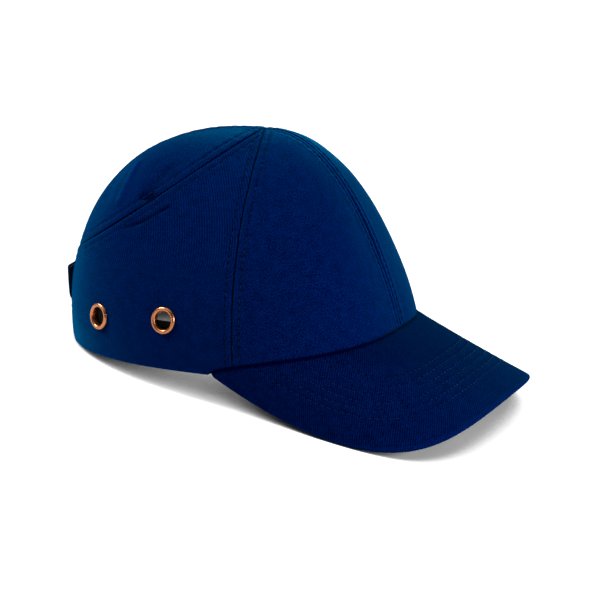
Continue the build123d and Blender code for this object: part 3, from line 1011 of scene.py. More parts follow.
def visor_normal(across, out):
    step = 0.01
    along = visor(np.clip(across + step, -1, 1), out) - visor(np.clip(across - step, -1, 1), out)
    outward = visor(across, np.ones(np.shape(across))) - visor(across, np.zeros(np.shape(across)))
    return unit(np.cross(along, -outward))


# the sewn rows, from the outermost in: each starts a step nearer the crown's middle and is a little rounder
SEWN_ROWS = 6
FIRST_ROW = 0.8             # where the outermost row starts, as a share of the visor's half-width
SEWN_ROW_STEP = 0.07
ROW_INSET = 0.06            # a row's middle is this much less of the way out than its start is across
ROW_SQUARENESS = 0.62
ROUNDER_EACH_ROW = 0.06


def visor_row(start, middle, fullness):
    across = start * np.sin(np.linspace(-math.pi / 2, math.pi / 2, 500))
    out = middle * (1 - np.abs(across / start) ** 4) ** fullness
    out = np.maximum(out, 0.012)
    points = resample(visor(across, out), 0.6)
    return points


ROW_LINES = []
for row_number in range(SEWN_ROWS):
    row_start = FIRST_ROW - SEWN_ROW_STEP * row_number
    squareness = ROW_SQUARENESS - ROUNDER_EACH_ROW * row_number
    ROW_LINES.append(visor_row(row_start, row_start - ROW_INSET, squareness))


def visor_relief(points, out, seed):
    """Sewn rows pull the cover down in lines; between them it lifts a little. Each row's groove is painted
    darker, a painted shade.
    """
    height = 0.12 * ripple(points, 30, seed) + 0.05 * ripple(points, 9, seed + 1)
    wear_and_shading = np.zeros(out.shape)
    for number, line in enumerate(ROW_LINES):
        distance, place = near_curve(points, line)
        beat = 0.7 + 0.3 * np.cos(2 * math.pi * place / STITCH_PITCH)
        height = height - 0.34 * np.exp(-(distance / 0.5) ** 2) * beat
        height = height + 0.13 * np.exp(-((distance - 2.0) / 1.1) ** 2)
        ripples = np.sin(2 * math.pi * place / 8.3 + number)
        ripples = ripples + 0.6 * np.sin(2 * math.pi * place / 4.9 + 2 * number)
        height = height + 0.05 * ripples * np.exp(-(distance / 2.6) ** 2)
        # painted shade along each sewn row's groove
        wear_and_shading = wear_and_shading - 0.35 * np.exp(-(distance / 0.5) ** 2)
    return height, wear_and_shading


VISOR_COLUMNS = 421
VISOR_ROW_COUNT = 110
EDGE_R = VISOR_THICKNESS / 2


def visor_grid(end_gap, first_mm, last_mm, rows):
    """across and out, with the first and last rows set in from the root and the edge by so many mm."""
    widest = math.pi / 2 * 0.93
    across = (1 - end_gap) * np.sin(np.linspace(-1, 1, VISOR_COLUMNS) * widest) / math.sin(widest)
    ones = np.ones(len(across))
    length = np.linalg.norm(visor(across, ones) - visor(across, 0 * ones), axis=-1)
    share = np.linspace(0, 1, rows)[:, None]
    out = (first_mm + (length - first_mm - last_mm) * share) / length
    return np.broadcast_to(across, out.shape), out, length


def visor_covers():
    """The top cover wraps round the board's edge and laps under; the under cover is sewn to its lap."""
    across, out, length = visor_grid(0.012, -1.4, EDGE_R, VISOR_ROW_COUNT)
    thin = np.clip(length / 14, 0.25, 1)
    out = np.where(out > 1 - EDGE_R * thin / length, 1 - EDGE_R * thin / length, out)
    base = visor(across, out)
    normal = visor_normal(across, out)
    height, wear_and_shading = visor_relief(base, out, 71)
    height = height * smooth_step((1 - out) * length, 0.0, 3.0)
    # painted shade where the visor meets the crown
    wear_and_shading = wear_and_shading - 1.8 * np.exp(-(np.maximum(out * length, 0) / 1.3) ** 2)
    top = base + normal * height[..., None]
    rim = base[-1]
    rim_normal = normal[-1]
    outward = unit(visor(across[-1], np.ones(across.shape[1])) - base[0])
    radius = (EDGE_R * thin)[:, None]
    bends = []
    for angle in np.linspace(0, math.pi, 17)[1:]:
        bends.append(rim + rim_normal * radius * (math.cos(angle) - 1) + outward * radius * math.sin(angle))
    lap = []
    for step in (0.8, 1.6, 2.4, 3.0):
        lap.append(bends[-1] - outward * radius * step * 0.5)
    outer = np.concatenate([top, np.array(bends), np.array(lap)])
    inward = np.concatenate([normal, np.broadcast_to(rim_normal, (20, *rim_normal.shape))])
    turned = np.array([outward * math.sin(a) + rim_normal * math.cos(a)
                       for a in np.linspace(0, math.pi, 17)[1:]])
    inward[len(top):len(top) + 16] = turned
    inward[len(top) + 16:] = -rim_normal
    skin = (0.6 * thin)[:, None]
    inner = outer - inward * skin
    cover_painted_shading = np.concatenate([wear_and_shading, np.full((16, wear_and_shading.shape[1]), 0.0), np.zeros((4, wear_and_shading.shape[1]))])
    around = wear_and_shading.shape[1]
    on_bend = np.zeros((16, around))
    on_lap = np.full((4, around), 3.0)
    from_edge = np.concatenate([(1 - out) * length - EDGE_R, on_bend, on_lap])
    # painted highlight: the rounded edge and the bend round it are painted paler
    cover_painted_shading = cover_painted_shading + 0.45 * np.exp(-(from_edge / 1.0) ** 2)
    gap = np.linalg.norm(np.diff(outer, axis=0), axis=-1)
    v = np.concatenate([np.zeros((1, outer.shape[1])), np.cumsum(gap, 0)])
    middle_row = visor(across[60], out[60])
    u = np.broadcast_to(arc_length(middle_row) - arc_length(middle_row)[-1] / 2, v.shape)
    piece = sheet_piece("twill_visor_top_cover", outer, inner, np.stack([u, v], -1), cover_painted_shading)
    finish_piece(piece, visor_twill, "cap", "visor_twill", "visor_top_cover")

    across, out, length = visor_grid(0.03, -1.0, 2.2, 84)
    thin = np.clip(length / 14, 0.25, 1)
    base = visor(across, out)
    normal = visor_normal(across, out)
    drop = (VISOR_THICKNESS - 0.7) * thin
    height, wear_and_shading = visor_relief(base, out, 83)
    height = height * smooth_step((1 - out) * length, 2.0, 4.0)
    outer = base - normal * (drop + 0.7 * thin + height)[..., None]
    inner = base - normal * (drop * np.ones_like(height))[..., None]
    v = out * length
    middle_row = visor(across[40], out[40])
    u = np.broadcast_to(arc_length(middle_row) - arc_length(middle_row)[-1] / 2, v.shape)
    uv = np.stack([u, v], -1)
    piece = sheet_piece("twill_visor_under_cover", outer[::-1], inner[::-1], uv[::-1], wear_and_shading[::-1])
    finish_piece(piece, visor_twill, "cap", "visor_twill", "visor_under_cover")


visor_covers()


def normals_on_visor(line):
    """Normals of the visor's top at points on it, from the nearest places of a coarse grid."""
    across, out = np.meshgrid(np.linspace(-0.98, 0.98, 161), np.linspace(0, 1, 41))
    places = visor(across, out).reshape(-1, 3)
    normals = visor_normal(across, out).reshape(-1, 3)
    gaps = ((line[:, None] - places[None]) ** 2).sum(-1)
    near = gaps.argmin(1)
    return unit(normals[near])


row_runs = [(line + normals_on_visor(line) * (STITCH_LIFT - 0.02), normals_on_visor(line))
            for line in ROW_LINES]
stitching("visor_topstitching", row_runs, slot="visor_twill")
under_runs = [(p - n * (VISOR_THICKNESS - 0.34), -n) for p, n in row_runs]
stitching("visor_understitching", under_runs, slot="visor_twill")


# ---------------------------------------------------------------- pieces swept along the crown
def swept(curve, profile):
    """Rings along a curve on the crown; the profile is (distance beside the curve, depth) round a section."""
    return np.stack([beside(curve, aside, -depth)[0] for aside, depth in profile], axis=1)


def swept_uv(rings):
    along = arc_length(rings[:, 0])
    closed = np.concatenate([rings, rings[:, :1]], 1)
    gaps = np.linalg.norm(np.diff(closed, axis=1), axis=-1)
    round_it = np.concatenate([np.zeros((len(rings), 1)), np.cumsum(gaps, 1)[:, :-1]], 1)
    return np.stack([round_it, np.broadcast_to(along[:, None], round_it.shape)], -1)


def rear_at(x, height):
    """phi and t of the crown's back at a distance from its middle and a height."""
    x, height = np.broadcast_arrays(np.asarray(x, float), np.asarray(height, float))

    def is_below(phi):
        return crown(phi, t_at(phi, height))[..., 0] > np.abs(x)

    phi = bisect(np.full(x.shape, math.pi / 2), np.full(x.shape, math.pi), is_below)
    t = t_at(phi, height)
    return np.where(x < 0, -phi, phi), t


def arch_line(spacing=1.2):
    """The edge of the rear opening on the crown, from the wearer's left over to the right."""
    legs = np.linspace(0.4, ARCH_SPRING, 24)
    turn = np.linspace(0, math.pi, 120)[1:-1]
    leg = np.full(24, ARCH_HALF_WIDTH)
    x = np.concatenate([leg, ARCH_HALF_WIDTH * np.cos(turn), -leg])
    z = np.concatenate([legs, ARCH_SPRING + (ARCH_HEIGHT - ARCH_SPRING) * np.sin(turn), legs[::-1]])
    return resample(crown(*rear_at(x, z)), spacing)


ARCH_LINE = arch_line()


def make_binding():
    """Tape folded round the edge of the opening: a leaf outside, a leaf inside and a round fold."""
    fold = [(-0.95 + 0.95 * math.sin(a) + 0.0, 0.4 - 0.95 * math.cos(a)) for a in np.linspace(0, math.pi, 9)]
    outside = [(-6.0, 0.05), (-6.05, -0.3), (-5.8, -0.5), (-5.0, -0.5),
               (-4.6, -0.36), (-4.2, -0.5), (-3.0, -0.62), (-1.8, -0.58)]
    inside = [(-1.8, 1.38), (-3.0, 1.42), (-4.2, 1.3), (-4.6, 1.18),
              (-5.0, 1.3), (-5.8, 1.3), (-6.05, 1.1), (-6.0, 0.85)]
    pocket = [(-1.4, 0.82), (-1.1, 0.4), (-1.4, 0.02)]
    profile = outside + fold + inside + pocket
    rings = swept(ARCH_LINE, profile)
    flutter = ripple(rings, 9, 5) * 0.12 + ripple(rings, 26, 6) * 0.15
    rings = rings + beside(ARCH_LINE, 0)[1][:, None] * flutter[..., None] * 0.6
    piece = tube_piece("arch_binding_tape", rings, swept_uv(rings))
    finish_piece(piece, binding_twill, "cap", "binding", "arch_binding")
    outer = beside(ARCH_LINE, -4.6, 0.5)
    inner = beside(ARCH_LINE, -4.6, -1.3)
    stitching("binding_stitching", [outer, (inner[0], -inner[1])], slot="binding", margin=2)


make_binding()


# ---------------------------------------------------------------- bands round the inside of the hem
BAND_END = float(rear_at(np.array([ARCH_HALF_WIDTH + BINDING_WIDTH + 1.2]), np.array([10.0]))[0][0])


def hem_band(profile, step_degrees=0.8):
    """Rings round the inside of the hem, from one side of the opening to the other.

    profile holds (climb, depth) pairs.
    """
    count = int(2 * math.degrees(BAND_END) / step_degrees)
    phi = np.linspace(-BAND_END, BAND_END, count)
    start = visor_arch(phi)
    rings = []
    for climb, depth in profile:
        t = t_at(phi, start + climb)
        rings.append(lies_at(phi, t, np.full(count, depth)))
    return phi, np.stack(rings, axis=1)


def rounded_band(bottom, top, near, far, steps, puff=0.0, edge=0.5):
    """A band's section: an outer side at depth near, an inner side at depth far that swells by puff."""
    rise = np.linspace(bottom + edge, top - edge, steps)
    swell = puff * np.sin(math.pi * (rise - bottom) / (top - bottom)) ** 0.5
    thick = (far - near) / 2
    middle = (far + near) / 2
    turn = np.linspace(0, math.pi, 7)[1:-1]
    inner = list(zip(rise, far + swell))
    over = [(top - edge + edge * math.sin(a), middle + thick * math.cos(a)) for a in turn]
    outer = [(climb, near) for climb in rise[::-1]]
    under = [(bottom + edge - edge * math.sin(a), middle - thick * math.cos(a)) for a in turn]
    return inner + over + outer + under


def relieved(profile, lines, depth=0.3, width=0.6):
    """Presses sewn lines into a band's inner side, at climbs given in lines."""
    pressed = []
    middle = sum(d for _, d in profile) / len(profile)
    for climb, d in profile:
        if d > middle:
            for line in lines:
                d -= depth * math.exp(-((climb - line) / width) ** 2)
        pressed.append((climb, d))
    return pressed


def make_hem_facing():
    profile = rounded_band(0.35, FACING_HEIGHT, 0.87, SWEATBAND_DEPTH - 0.07, 12)
    _, rings = hem_band(profile)
    piece = tube_piece("hem_facing_fold", rings, swept_uv(rings))
    finish_piece(piece, crown_twill, "cap", "crown_twill", "hem_facing")


BAND_LINES = (2.6, SWEATBAND_HEIGHT - 2.4)
BAND_PUFF = 0.7


def make_sweatband():
    profile = rounded_band(0.35, SWEATBAND_HEIGHT, SWEATBAND_DEPTH, SWEATBAND_DEPTH + 1.2, 46, BAND_PUFF)
    phi, rings = hem_band(relieved(profile, BAND_LINES), 0.6)
    inward = unit(np.array([0, 13.0, 0]) - rings * np.array([1, 1, 0]))
    share = np.array([1.0 if d > SWEATBAND_DEPTH + 0.7 else 0.0 for _, d in profile])
    climb = np.array([c for c, _ in profile])
    share = share * smooth_step(climb, 3.5, 8) * (1 - smooth_step(climb, 21, 25))
    wrinkle = 0.22 * ripple(rings * np.array([1, 1, 0.35]), 13, 61) + 0.1 * ripple(rings, 6, 62)
    rings = rings + inward * (wrinkle * share[None])[..., None]
    piece = tube_piece("sweatband_pad", rings, swept_uv(rings))
    finish_piece(piece, sweat_cloth, "cap", "sweatband", "sweatband")
    runs = []
    for line in BAND_LINES:
        t = t_at(phi, visor_arch(phi) + line)
        depth = np.full(len(phi), SWEATBAND_DEPTH + 1.2 + 0.1)
        runs.append((lies_at(phi, t, depth), -crown_normal(phi, t)))
    stitching("sweatband_stitching", runs, slot="sweatband", pitch=4.4, length=3.3,
              material=black_thread, margin=2)


def brushed_cloth(name, dark, light):
    """Soft brushed cotton: a short pile with a broken, mottled tone."""
    material, shader = new_material(name, light, 0.95)
    uv, u, v = weave_place(material)
    pile = grain(material, uv, 3.4, 4.0, 0.7)
    patches = grain(material, uv, 0.22, 3.0)
    ribs = slanted_wave(material, u, v, 0.9, 0)
    tone = summed(material, ranged(material, pile, 0.3, 0.7, 0.1, 0.7),
                  ranged(material, patches, 0.3, 0.7, -0.15, 0.25))
    tone = maths(material, "ADD", tone, maths(material, "MULTIPLY", ribs, 0.06))
    plug(material, tinted(material, tone, dark, light), shader.inputs["Base Color"])
    shader.inputs["Sheen Weight"].default_value = 0.08
    shader.inputs["Sheen Roughness"].default_value = 0.5
    shader.inputs["Specular IOR Level"].default_value = 0.0
    bumped(material, shader, maths(material, "ADD", pile, maths(material, "MULTIPLY", ribs, 0.1)), 0.16 * MM)
    return material


def tape_cloth(name, dark, light, pitch):
    """Narrow woven tape: a herringbone of two opposed twills."""
    material, shader = new_material(name, light, 0.8)
    uv, u, v = weave_place(material)
    left = slanted_wave(material, u, v, pitch, 45)
    right = slanted_wave(material, u, v, pitch, -45)
    wave = maths(material, "SINE", maths(material, "MULTIPLY", u, 2 * math.pi / 4))
    stripe = maths(material, "GREATER_THAN", wave, 0.0)
    mix = node(material, "ShaderNodeMix", data_type="FLOAT")
    plug(material, stripe, mix.inputs["Factor"])
    plug(material, left, mix.inputs["A"])
    plug(material, right, mix.inputs["B"])
    weave = mix.outputs["Result"]
    fibre = grain(material, uv, 4.0, 3.0)
    tone = summed(material, ranged(material, weave, -1, 1, 0.15, 0.7),
                  ranged(material, fibre, 0.3, 0.7, -0.15, 0.2))
    plug(material, tinted(material, tone, dark, light), shader.inputs["Base Color"])
    shader.inputs["Sheen Weight"].default_value = 0.25
    bumped(material, shader, maths(material, "ADD", weave, fibre), 0.06 * MM)
    return material


sweat_cloth = brushed_cloth("black_brushed_cotton", (0.001, 0.001, 0.002), (0.009, 0.009, 0.012))
black_tape = tape_cloth("black_twill_tape", (0.004, 0.005, 0.010), (0.020, 0.024, 0.042), 0.8)
label_cloth = tape_cloth("dark_woven_label", (0.003, 0.003, 0.005), (0.016, 0.017, 0.024), 0.35)
black_thread = thread_material("black_thread", (0.006, 0.006, 0.009), (0.03, 0.03, 0.04))
make_hem_facing()
make_sweatband()


# ---------------------------------------------------------------- seam tapes
def tape_profile(depth, width=TAPE_WIDTH, thick=0.4):
    half = width / 2
    inner = [(half * w, depth + thick + 0.05 * math.cos(math.pi * w) - 0.02) for w in np.linspace(1, -1, 13)]
    outer = [(half * w, depth) for w in np.linspace(-0.99, 0.99, 7)]
    return [(half, depth + thick * 0.5)] + inner + [(-half, depth + thick * 0.5)] + outer


def make_seam_tapes():
    facing_top = FACING_HEIGHT + 0.4
    inside_runs = []
    for seam, mirror_it, prefix, depth in (
            ("front", True, "front_seam_tape", TAPE_DEPTH), ("rear", True, "rear_seam_tape", TAPE_DEPTH),
            ("centre_front", False, "centre_front_tape", TAPE_DEPTH + 0.45),
            ("centre_rear", False, "centre_rear_tape", TAPE_DEPTH + 0.45)):
        curve = SEAMS[seam]
        climb = arc_length(curve)
        start = facing_top if "front" in seam else BINDING_WIDTH + 0.5
        last = climb[-1] - (7.0 if mirror_it else 0.6)
        curve = resample(curve[(climb > start) & (climb < last)], 1.6)
        rings = swept(curve, tape_profile(depth))
        for side in SIDE_SIGNS if mirror_it else ("",):
            turned = (rings * np.array([-1, 1, 1]))[:, ::-1] if side == "right" else rings
            label = prefix + ("_" + side if side else "")
            piece = tube_piece("sewn_" + label, turned, swept_uv(turned))
            finish_piece(piece, black_tape, "cap", "seam_tape", label)
        for aside in (-4.6, 4.6):
            points, normals = beside(curve, aside, -(depth + 0.42))
            run = (points, -normals)
            inside_runs += [run, mirrored(run)] if mirror_it else [run]
    stitching("tape_stitching", inside_runs, slot="seam_tape", material=black_thread)


make_seam_tapes()


# ---------------------------------------------------------------- label
def make_label():
    """A blank woven label, folded at its two ends and sewn to the sweatband."""
    width, height = 26.0, 14.0
    depth = SWEATBAND_DEPTH + 1.2 + BAND_PUFF + 0.12
    x = np.linspace(60 + width / 2, 60 - width / 2, 40)
    profile = [(z, 0.0) for z in np.linspace(15 - height / 2, 15 + height / 2, 18)]
    profile += [(z, 0.22) for z in np.linspace(15 + height / 2, 15 - height / 2, 18)]
    rings = []
    for z, lift in profile:
        phi, t = rear_at(x, np.full(40, z))
        bow = 0.10 * np.sin(np.linspace(0, math.pi, 40)) + 0.05 * np.sin(z * 0.9)
        rings.append(lies_at(phi, t, depth + lift + bow))
    rings = np.stack(rings, axis=1)
    piece = tube_piece("woven_label", rings, swept_uv(rings))
    finish_piece(piece, label_cloth, "cap", "label", "size_label")
    runs = []
    for x_end in (x[0] - 1.5, x[-1] + 1.5):
        phi, t = rear_at(np.full(30, x_end), np.linspace(9, 21, 30))
        runs.append((lies_at(phi, t, np.full(30, depth + 0.3)), -crown_normal(phi, t)))
    stitching("label_stitching", runs, slot="label", pitch=2.2, length=1.6, thread=0.3, material=black_thread)


make_label()


# ---------------------------------------------------------------- closure strap
def round_rear(degrees, height, gap, upright):
    """A point gap outside the crown's back; upright 1 keeps it plumb, as the strap is where it hangs free."""
    phi = math.pi - np.radians(degrees)
    t = t_at(phi, height)
    on_surface = crown(phi, t)
    middle_t = t_at(phi, np.full(np.shape(phi), STRAP_MIDDLE))
    normal = crown_normal(phi, middle_t) * np.array([1, 1, 0])
    normal = unit(normal)
    plumb = crown(phi, middle_t)
    plumb[..., 2] = height
    base = on_surface + (plumb - on_surface) * np.asarray(upright)[..., None]
    return base + normal * np.asarray(gap)[..., None]


STRAP_LEAVES = (14.0, 17.5)  # where the strap leaves the cap, degrees from the rear's middle


def strap_section(steps=22):
    """Round a strap's section: (height share from -1 to 1, thickness share from 0 inside to 1 outside)."""
    heights = np.sin(np.linspace(-1, 1, steps) * math.pi / 2 * 0.9) / math.sin(math.pi / 2 * 0.9)
    outer = [(0.985 * h, 1.0) for h in heights]
    inner = [(0.985 * h, 0.0) for h in heights[::-1]]
    return outer + [(1.0, 0.75), (1.0, 0.25)] + inner + [(-1.0, 0.25), (-1.0, 0.75)]


def make_strap(name, degrees, gap_at, flare, thick=1.0, bottom=STRAP_BOTTOM, top=STRAP_TOP,
               round_r=5.5, sewn=1.9):
    """A strap along the crown's back, with round corners at its tail. gap_at gives its inner side's gap."""
    section = strap_section()
    middle, half = (bottom + top) / 2, (top - bottom) / 2
    track = round_rear(degrees, np.full(len(degrees), STRAP_MIDDLE), gap_at(degrees), np.ones(len(degrees)))
    length = arc_length(track)
    corner = np.clip(length[-1] - length, 0, round_r)
    reach = half - round_r + np.sqrt(np.maximum(round_r ** 2 - (round_r - corner) ** 2, 0))
    reach = np.maximum(reach, half - round_r * 0.98)
    free = 1 - smooth_step(np.abs(degrees), *STRAP_LEAVES)
    rings = []
    for share, across in section:
        height = middle + reach * share
        pressed = math.exp(-((half * (1 - abs(share)) - sewn) / 0.45) ** 2) * 0.14
        pressed = pressed * (1 if across == 1 else -1 if across == 0 else 0)
        lean = flare(degrees) * (height - bottom) / (top - bottom)
        rings.append(round_rear(degrees, height, gap_at(degrees) + thick * across - pressed + lean, free))
    rings = np.stack(rings, axis=1)
    wave = ripple(rings, 16, len(name)) * 0.12
    rings = rings + np.array([0, 1, 0]) * wave[..., None]
    piece = tube_piece(name, rings, swept_uv(rings))
    return piece


def outer_gap(degrees):
    tail = 1 - smooth_step(degrees, -16, -9)
    near_root = 0.62 * (1 - smooth_step(degrees, 14.5, 18))
    near_middle = 0.5 * (1 - smooth_step(degrees, 3, 14))
    return 0.68 + near_root + near_middle - 0.8 * tail


def outer_flare(degrees):
    return 2.2 * (1 - smooth_step(degrees, -16, -9))


def inner_gap(degrees):
    back = -degrees
    return -0.8 - 2.9 * smooth_step(back, 2.5, 13.5) + 1.25 * smooth_step(back, 15.5, 19)


def no_flare(degrees):
    return np.zeros(np.shape(degrees))


def hinge_pair(joint_degrees, gap, toward):
    """The points just before and just after a strap's hinge."""
    pair = []
    for offset in (1.6, -1.6):
        degrees = np.array([joint_degrees + toward * offset])
        place = round_rear(degrees, np.array([STRAP_MIDDLE]), np.array([gap]), np.array([1.0]))
        pair.append(tuple(rest(place)[0]))
    return pair


def finish_bent(piece, material, parent, child, ends, slot, *nodes):
    piece.data.materials.append(material)
    if nodes:
        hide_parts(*nodes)
    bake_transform(piece)
    return piece


def strap_stitches(name, degrees, gap_at, flare, parent, child, ends, sewn=1.9, thick=1.0):
    """Two rows along a strap, seen on both of its sides."""
    runs = []
    free = 1 - smooth_step(np.abs(degrees), *STRAP_LEAVES)
    for height in (STRAP_BOTTOM + sewn, STRAP_TOP - sewn):
        level = np.full(len(degrees), height)
        lean = flare(degrees) * (height - STRAP_BOTTOM) / (STRAP_TOP - STRAP_BOTTOM)
        for side in (1, 0):
            gap = gap_at(degrees) + thick * side + lean
            points = round_rear(degrees, level, gap, free)
            middle = crown_normal(math.pi - np.radians(degrees), t_at(math.pi - np.radians(degrees), level))
            runs.append((points, middle * (1 if side else -1)))
    piece = stitch_mesh(name, runs)
    return finish_bent(piece, navy_thread, parent, child, ends, "strap")


OUTER_DEGREES = np.linspace(23.2, -16.0, 110)
INNER_DEGREES = np.linspace(-23.2, 8.0, 96)
OUTER_ENDS = hinge_pair(HINGE_ANGLE, 1.8, 1)
INNER_ENDS = hinge_pair(-15.3, -3.2, -1)

strap_piece = make_strap("closure_strap_outer", OUTER_DEGREES, outer_gap, outer_flare)
finish_bent(strap_piece, strap_twill, "cap", "outer_tab", OUTER_ENDS, "strap",
            "outer_strap_anchor", "outer_strap")
strap_piece = make_strap("closure_strap_inner", INNER_DEGREES, inner_gap, no_flare, round_r=4.0)
finish_bent(strap_piece, strap_twill, "cap", "inner_tab", INNER_ENDS, "strap",
            "inner_strap_anchor", "inner_strap")
strap_stitches("outer_strap_stitching", OUTER_DEGREES[2:-12], outer_gap, outer_flare,
               "cap", "outer_tab", OUTER_ENDS)
strap_stitches("inner_strap_stitching", INNER_DEGREES[2:-10], inner_gap, no_flare,
               "cap", "inner_tab", INNER_ENDS)


# ---------------------------------------------------------------- hook and loop patches
def patch_plate(name, degrees, gap, flare, thick, inset=1.6):
    """A thin tape with soft edges."""
    bottom, top = STRAP_BOTTOM + inset, STRAP_TOP - inset
    rings = []
    rise = np.linspace(0, 1, 16)
    section = [(h, 1.0) for h in rise] + [(1.02, 0.5)] + [(h, 0.0) for h in rise[::-1]] + [(-0.02, 0.5)]
    for share, across in section:
        height = np.full(len(degrees), bottom + (top - bottom) * share)
        lean = flare(degrees) * (height - STRAP_BOTTOM) / (STRAP_TOP - STRAP_BOTTOM)
        rings.append(round_rear(degrees, height, gap(degrees) + lean + thick * across, np.ones(len(degrees))))
    rings = np.stack(rings, axis=1)
    return tube_piece(name, rings, swept_uv(rings))


def nap(name, degrees, gap, flare, outward, length, spacing, hooked, seed, inset=2.2):
    """Rows of small bent threads standing on a patch: hooks that curl over, or loops that come back down."""
    random = np.random.default_rng(seed)
    track = round_rear(degrees, np.full(len(degrees), STRAP_MIDDLE), gap(degrees), np.ones(len(degrees)))
    reach = arc_length(track)
    columns = int((reach[-1] - 1.6) / spacing)
    rows = int((STRAP_TOP - STRAP_BOTTOM - 2 * inset) / spacing)
    places = np.interp(0.8 + spacing * np.arange(columns), reach, degrees)
    heights = STRAP_BOTTOM + inset + spacing * (np.arange(rows) + 0.5)
    place, height = [g.ravel() for g in np.meshgrid(places, heights)]
    place = place + random.uniform(-0.12, 0.12, len(place))
    height = height + random.uniform(-0.25, 0.25, len(height)) * spacing
    lean = flare(place) * (height - STRAP_BOTTOM) / (STRAP_TOP - STRAP_BOTTOM)
    foot = round_rear(place, height, gap(place) + lean, np.ones(len(place)))
    normal = unit(foot - round_rear(place, height, gap(place) + lean - 1, np.ones(len(place)))) * outward
    if hooked:
        turn = np.where(np.arange(len(place)) % 2, 0.4, math.pi + 0.4)
    else:
        turn = random.uniform(0, 2 * math.pi, len(place))
    flat = unit(np.cross(np.array([0, 0, 1]), normal))
    aside = flat * np.cos(turn)[:, None] + np.array([0, 0, 1]) * np.sin(turn)[:, None]
    angles = np.linspace(0, (1.5 if hooked else 1.0) * math.pi, 6)
    bend = length * 0.42
    rise = np.sin(angles) * bend + (length * 0.3 if hooked else 0)
    rise[0] = -0.05
    shift = (1 - np.cos(angles)) * bend
    middle = foot[:, None] + normal[:, None] * rise[None, :, None] + aside[:, None] * shift[None, :, None]
    tangent = unit(np.gradient(middle, axis=1))
    side = unit(np.cross(normal, aside))
    other = np.cross(tangent, side[:, None])
    ring = np.cos(RING)[:, None] * side[:, None, None] + np.sin(RING)[:, None] * other[:, :, None]
    bodies = middle[:, :, None] + ring * 0.09
    return tube_bundle(name, bodies, np.zeros((bodies[..., 0].size, 2)))


def nylon(name, dark, light):
    """Black nylon tape: a tight plain weave with the gloss of monofilament."""
    material, shader = new_material(name, light, 0.45)
    place = node(material, "ShaderNodeTexCoord").outputs["Object"]
    fibre = grain(material, place, 1600, 3.0)
    colour = tinted(material, ranged(material, fibre, 0.3, 0.7, 0, 1), dark, light)
    plug(material, colour, shader.inputs["Base Color"])
    plug(material, ranged(material, fibre, 0.3, 0.7, 0.35, 0.6), shader.inputs["Roughness"])
    shader.inputs["Specular IOR Level"].default_value = 0.1
    bumped(material, shader, fibre, 0.08 * MM)
    return material


def make_patches():
    hook_nylon = nylon("hook_nylon", (0.001, 0.003, 0.012), (0.006, 0.014, 0.045))
    loop_nylon = nylon("loop_nylon", (0.001, 0.002, 0.010), (0.005, 0.012, 0.040))
    hook_degrees = np.linspace(3.0, -14.6, 60)
    loop_degrees = np.linspace(-5.5, 7.4, 46)

    def hook_gap(degrees):
        return outer_gap(degrees) - 0.36

    def loop_gap(degrees):
        return inner_gap(degrees) + 1.02

    def loop_face(degrees):
        return loop_gap(degrees) + 0.25

    plate = patch_plate("hook_tape", hook_degrees, hook_gap, outer_flare, 0.3)
    finish_piece(plate, hook_nylon, "outer_tab", "hook_tape", "hook_patch")
    pile = nap("hook_tape_hooks", hook_degrees, hook_gap, outer_flare, -1, 0.42, 1.3, True, 9)
    finish_piece(pile, hook_nylon, "outer_tab", "hook_tape")
    plate = patch_plate("loop_tape", loop_degrees, loop_gap, no_flare, 0.25)
    finish_piece(plate, loop_nylon, "inner_tab", "loop_tape", "loop_patch")
    pile = nap("loop_tape_loops", loop_degrees, loop_face, no_flare, 1, 0.55, 1.0, False, 10)
    finish_piece(pile, loop_nylon, "inner_tab", "loop_tape")


make_patches()


# ---------------------------------------------------------------- the lift-out bump insert
def moulded_plastic(name, dark, light, roughness, scale):
    """Injection-moulded plastic: a spark-eroded texture, faint flow marks and rubbed edges."""
    material, shader = new_material(name, light, roughness)
    place = node(material, "ShaderNodeTexCoord").outputs["Object"]
    texture = grain(material, place, scale, 3.0)
    flow = grain(material, place, 38, 2.0)
    edges = node(material, "ShaderNodeNewGeometry").outputs["Pointiness"]
    tone = summed(material, ranged(material, flow, 0.3, 0.7, 0.15, 0.55),
                  ranged(material, texture, 0.3, 0.7, -0.1, 0.1))
    tone = maths(material, "ADD", tone, ranged(material, edges, 0.52, 0.6, 0.0, 0.4))
    plug(material, tinted(material, tone, dark, light), shader.inputs["Base Color"])
    gloss = ranged(material, texture, 0.3, 0.7, roughness - 0.1, roughness + 0.12)
    plug(material, gloss, shader.inputs["Roughness"])
    bumped(material, shader, texture, 0.05 * MM)
    return material


def foam_material(name, dark, light):
    """Closed-cell foam: a fine cell pattern and a patchy tone."""
    material, shader = new_material(name, light, 0.9)
    place = node(material, "ShaderNodeTexCoord").outputs["Object"]
    cells = node(material, "ShaderNodeTexVoronoi", feature="F1")
    cells.inputs["Scale"].default_value = 1500
    plug(material, place, cells.inputs["Vector"])
    patches = grain(material, place, 90, 3.0)
    tone = summed(material, ranged(material, cells.outputs["Distance"], 0, 0.9, 0.1, 0.7),
                  ranged(material, patches, 0.3, 0.7, -0.15, 0.25))
    plug(material, tinted(material, tone, dark, light), shader.inputs["Base Color"])
    shader.inputs["Sheen Weight"].default_value = 0.25
    shader.inputs["Specular IOR Level"].default_value = 0.25
    bumped(material, shader, cells.outputs["Distance"], 0.12 * MM)
    return material


def dress(node_name, material):
    """Gives a CAD part that stays its finish."""
    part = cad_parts[node_name]
    part.data.materials.clear()
    part.data.materials.append(material)


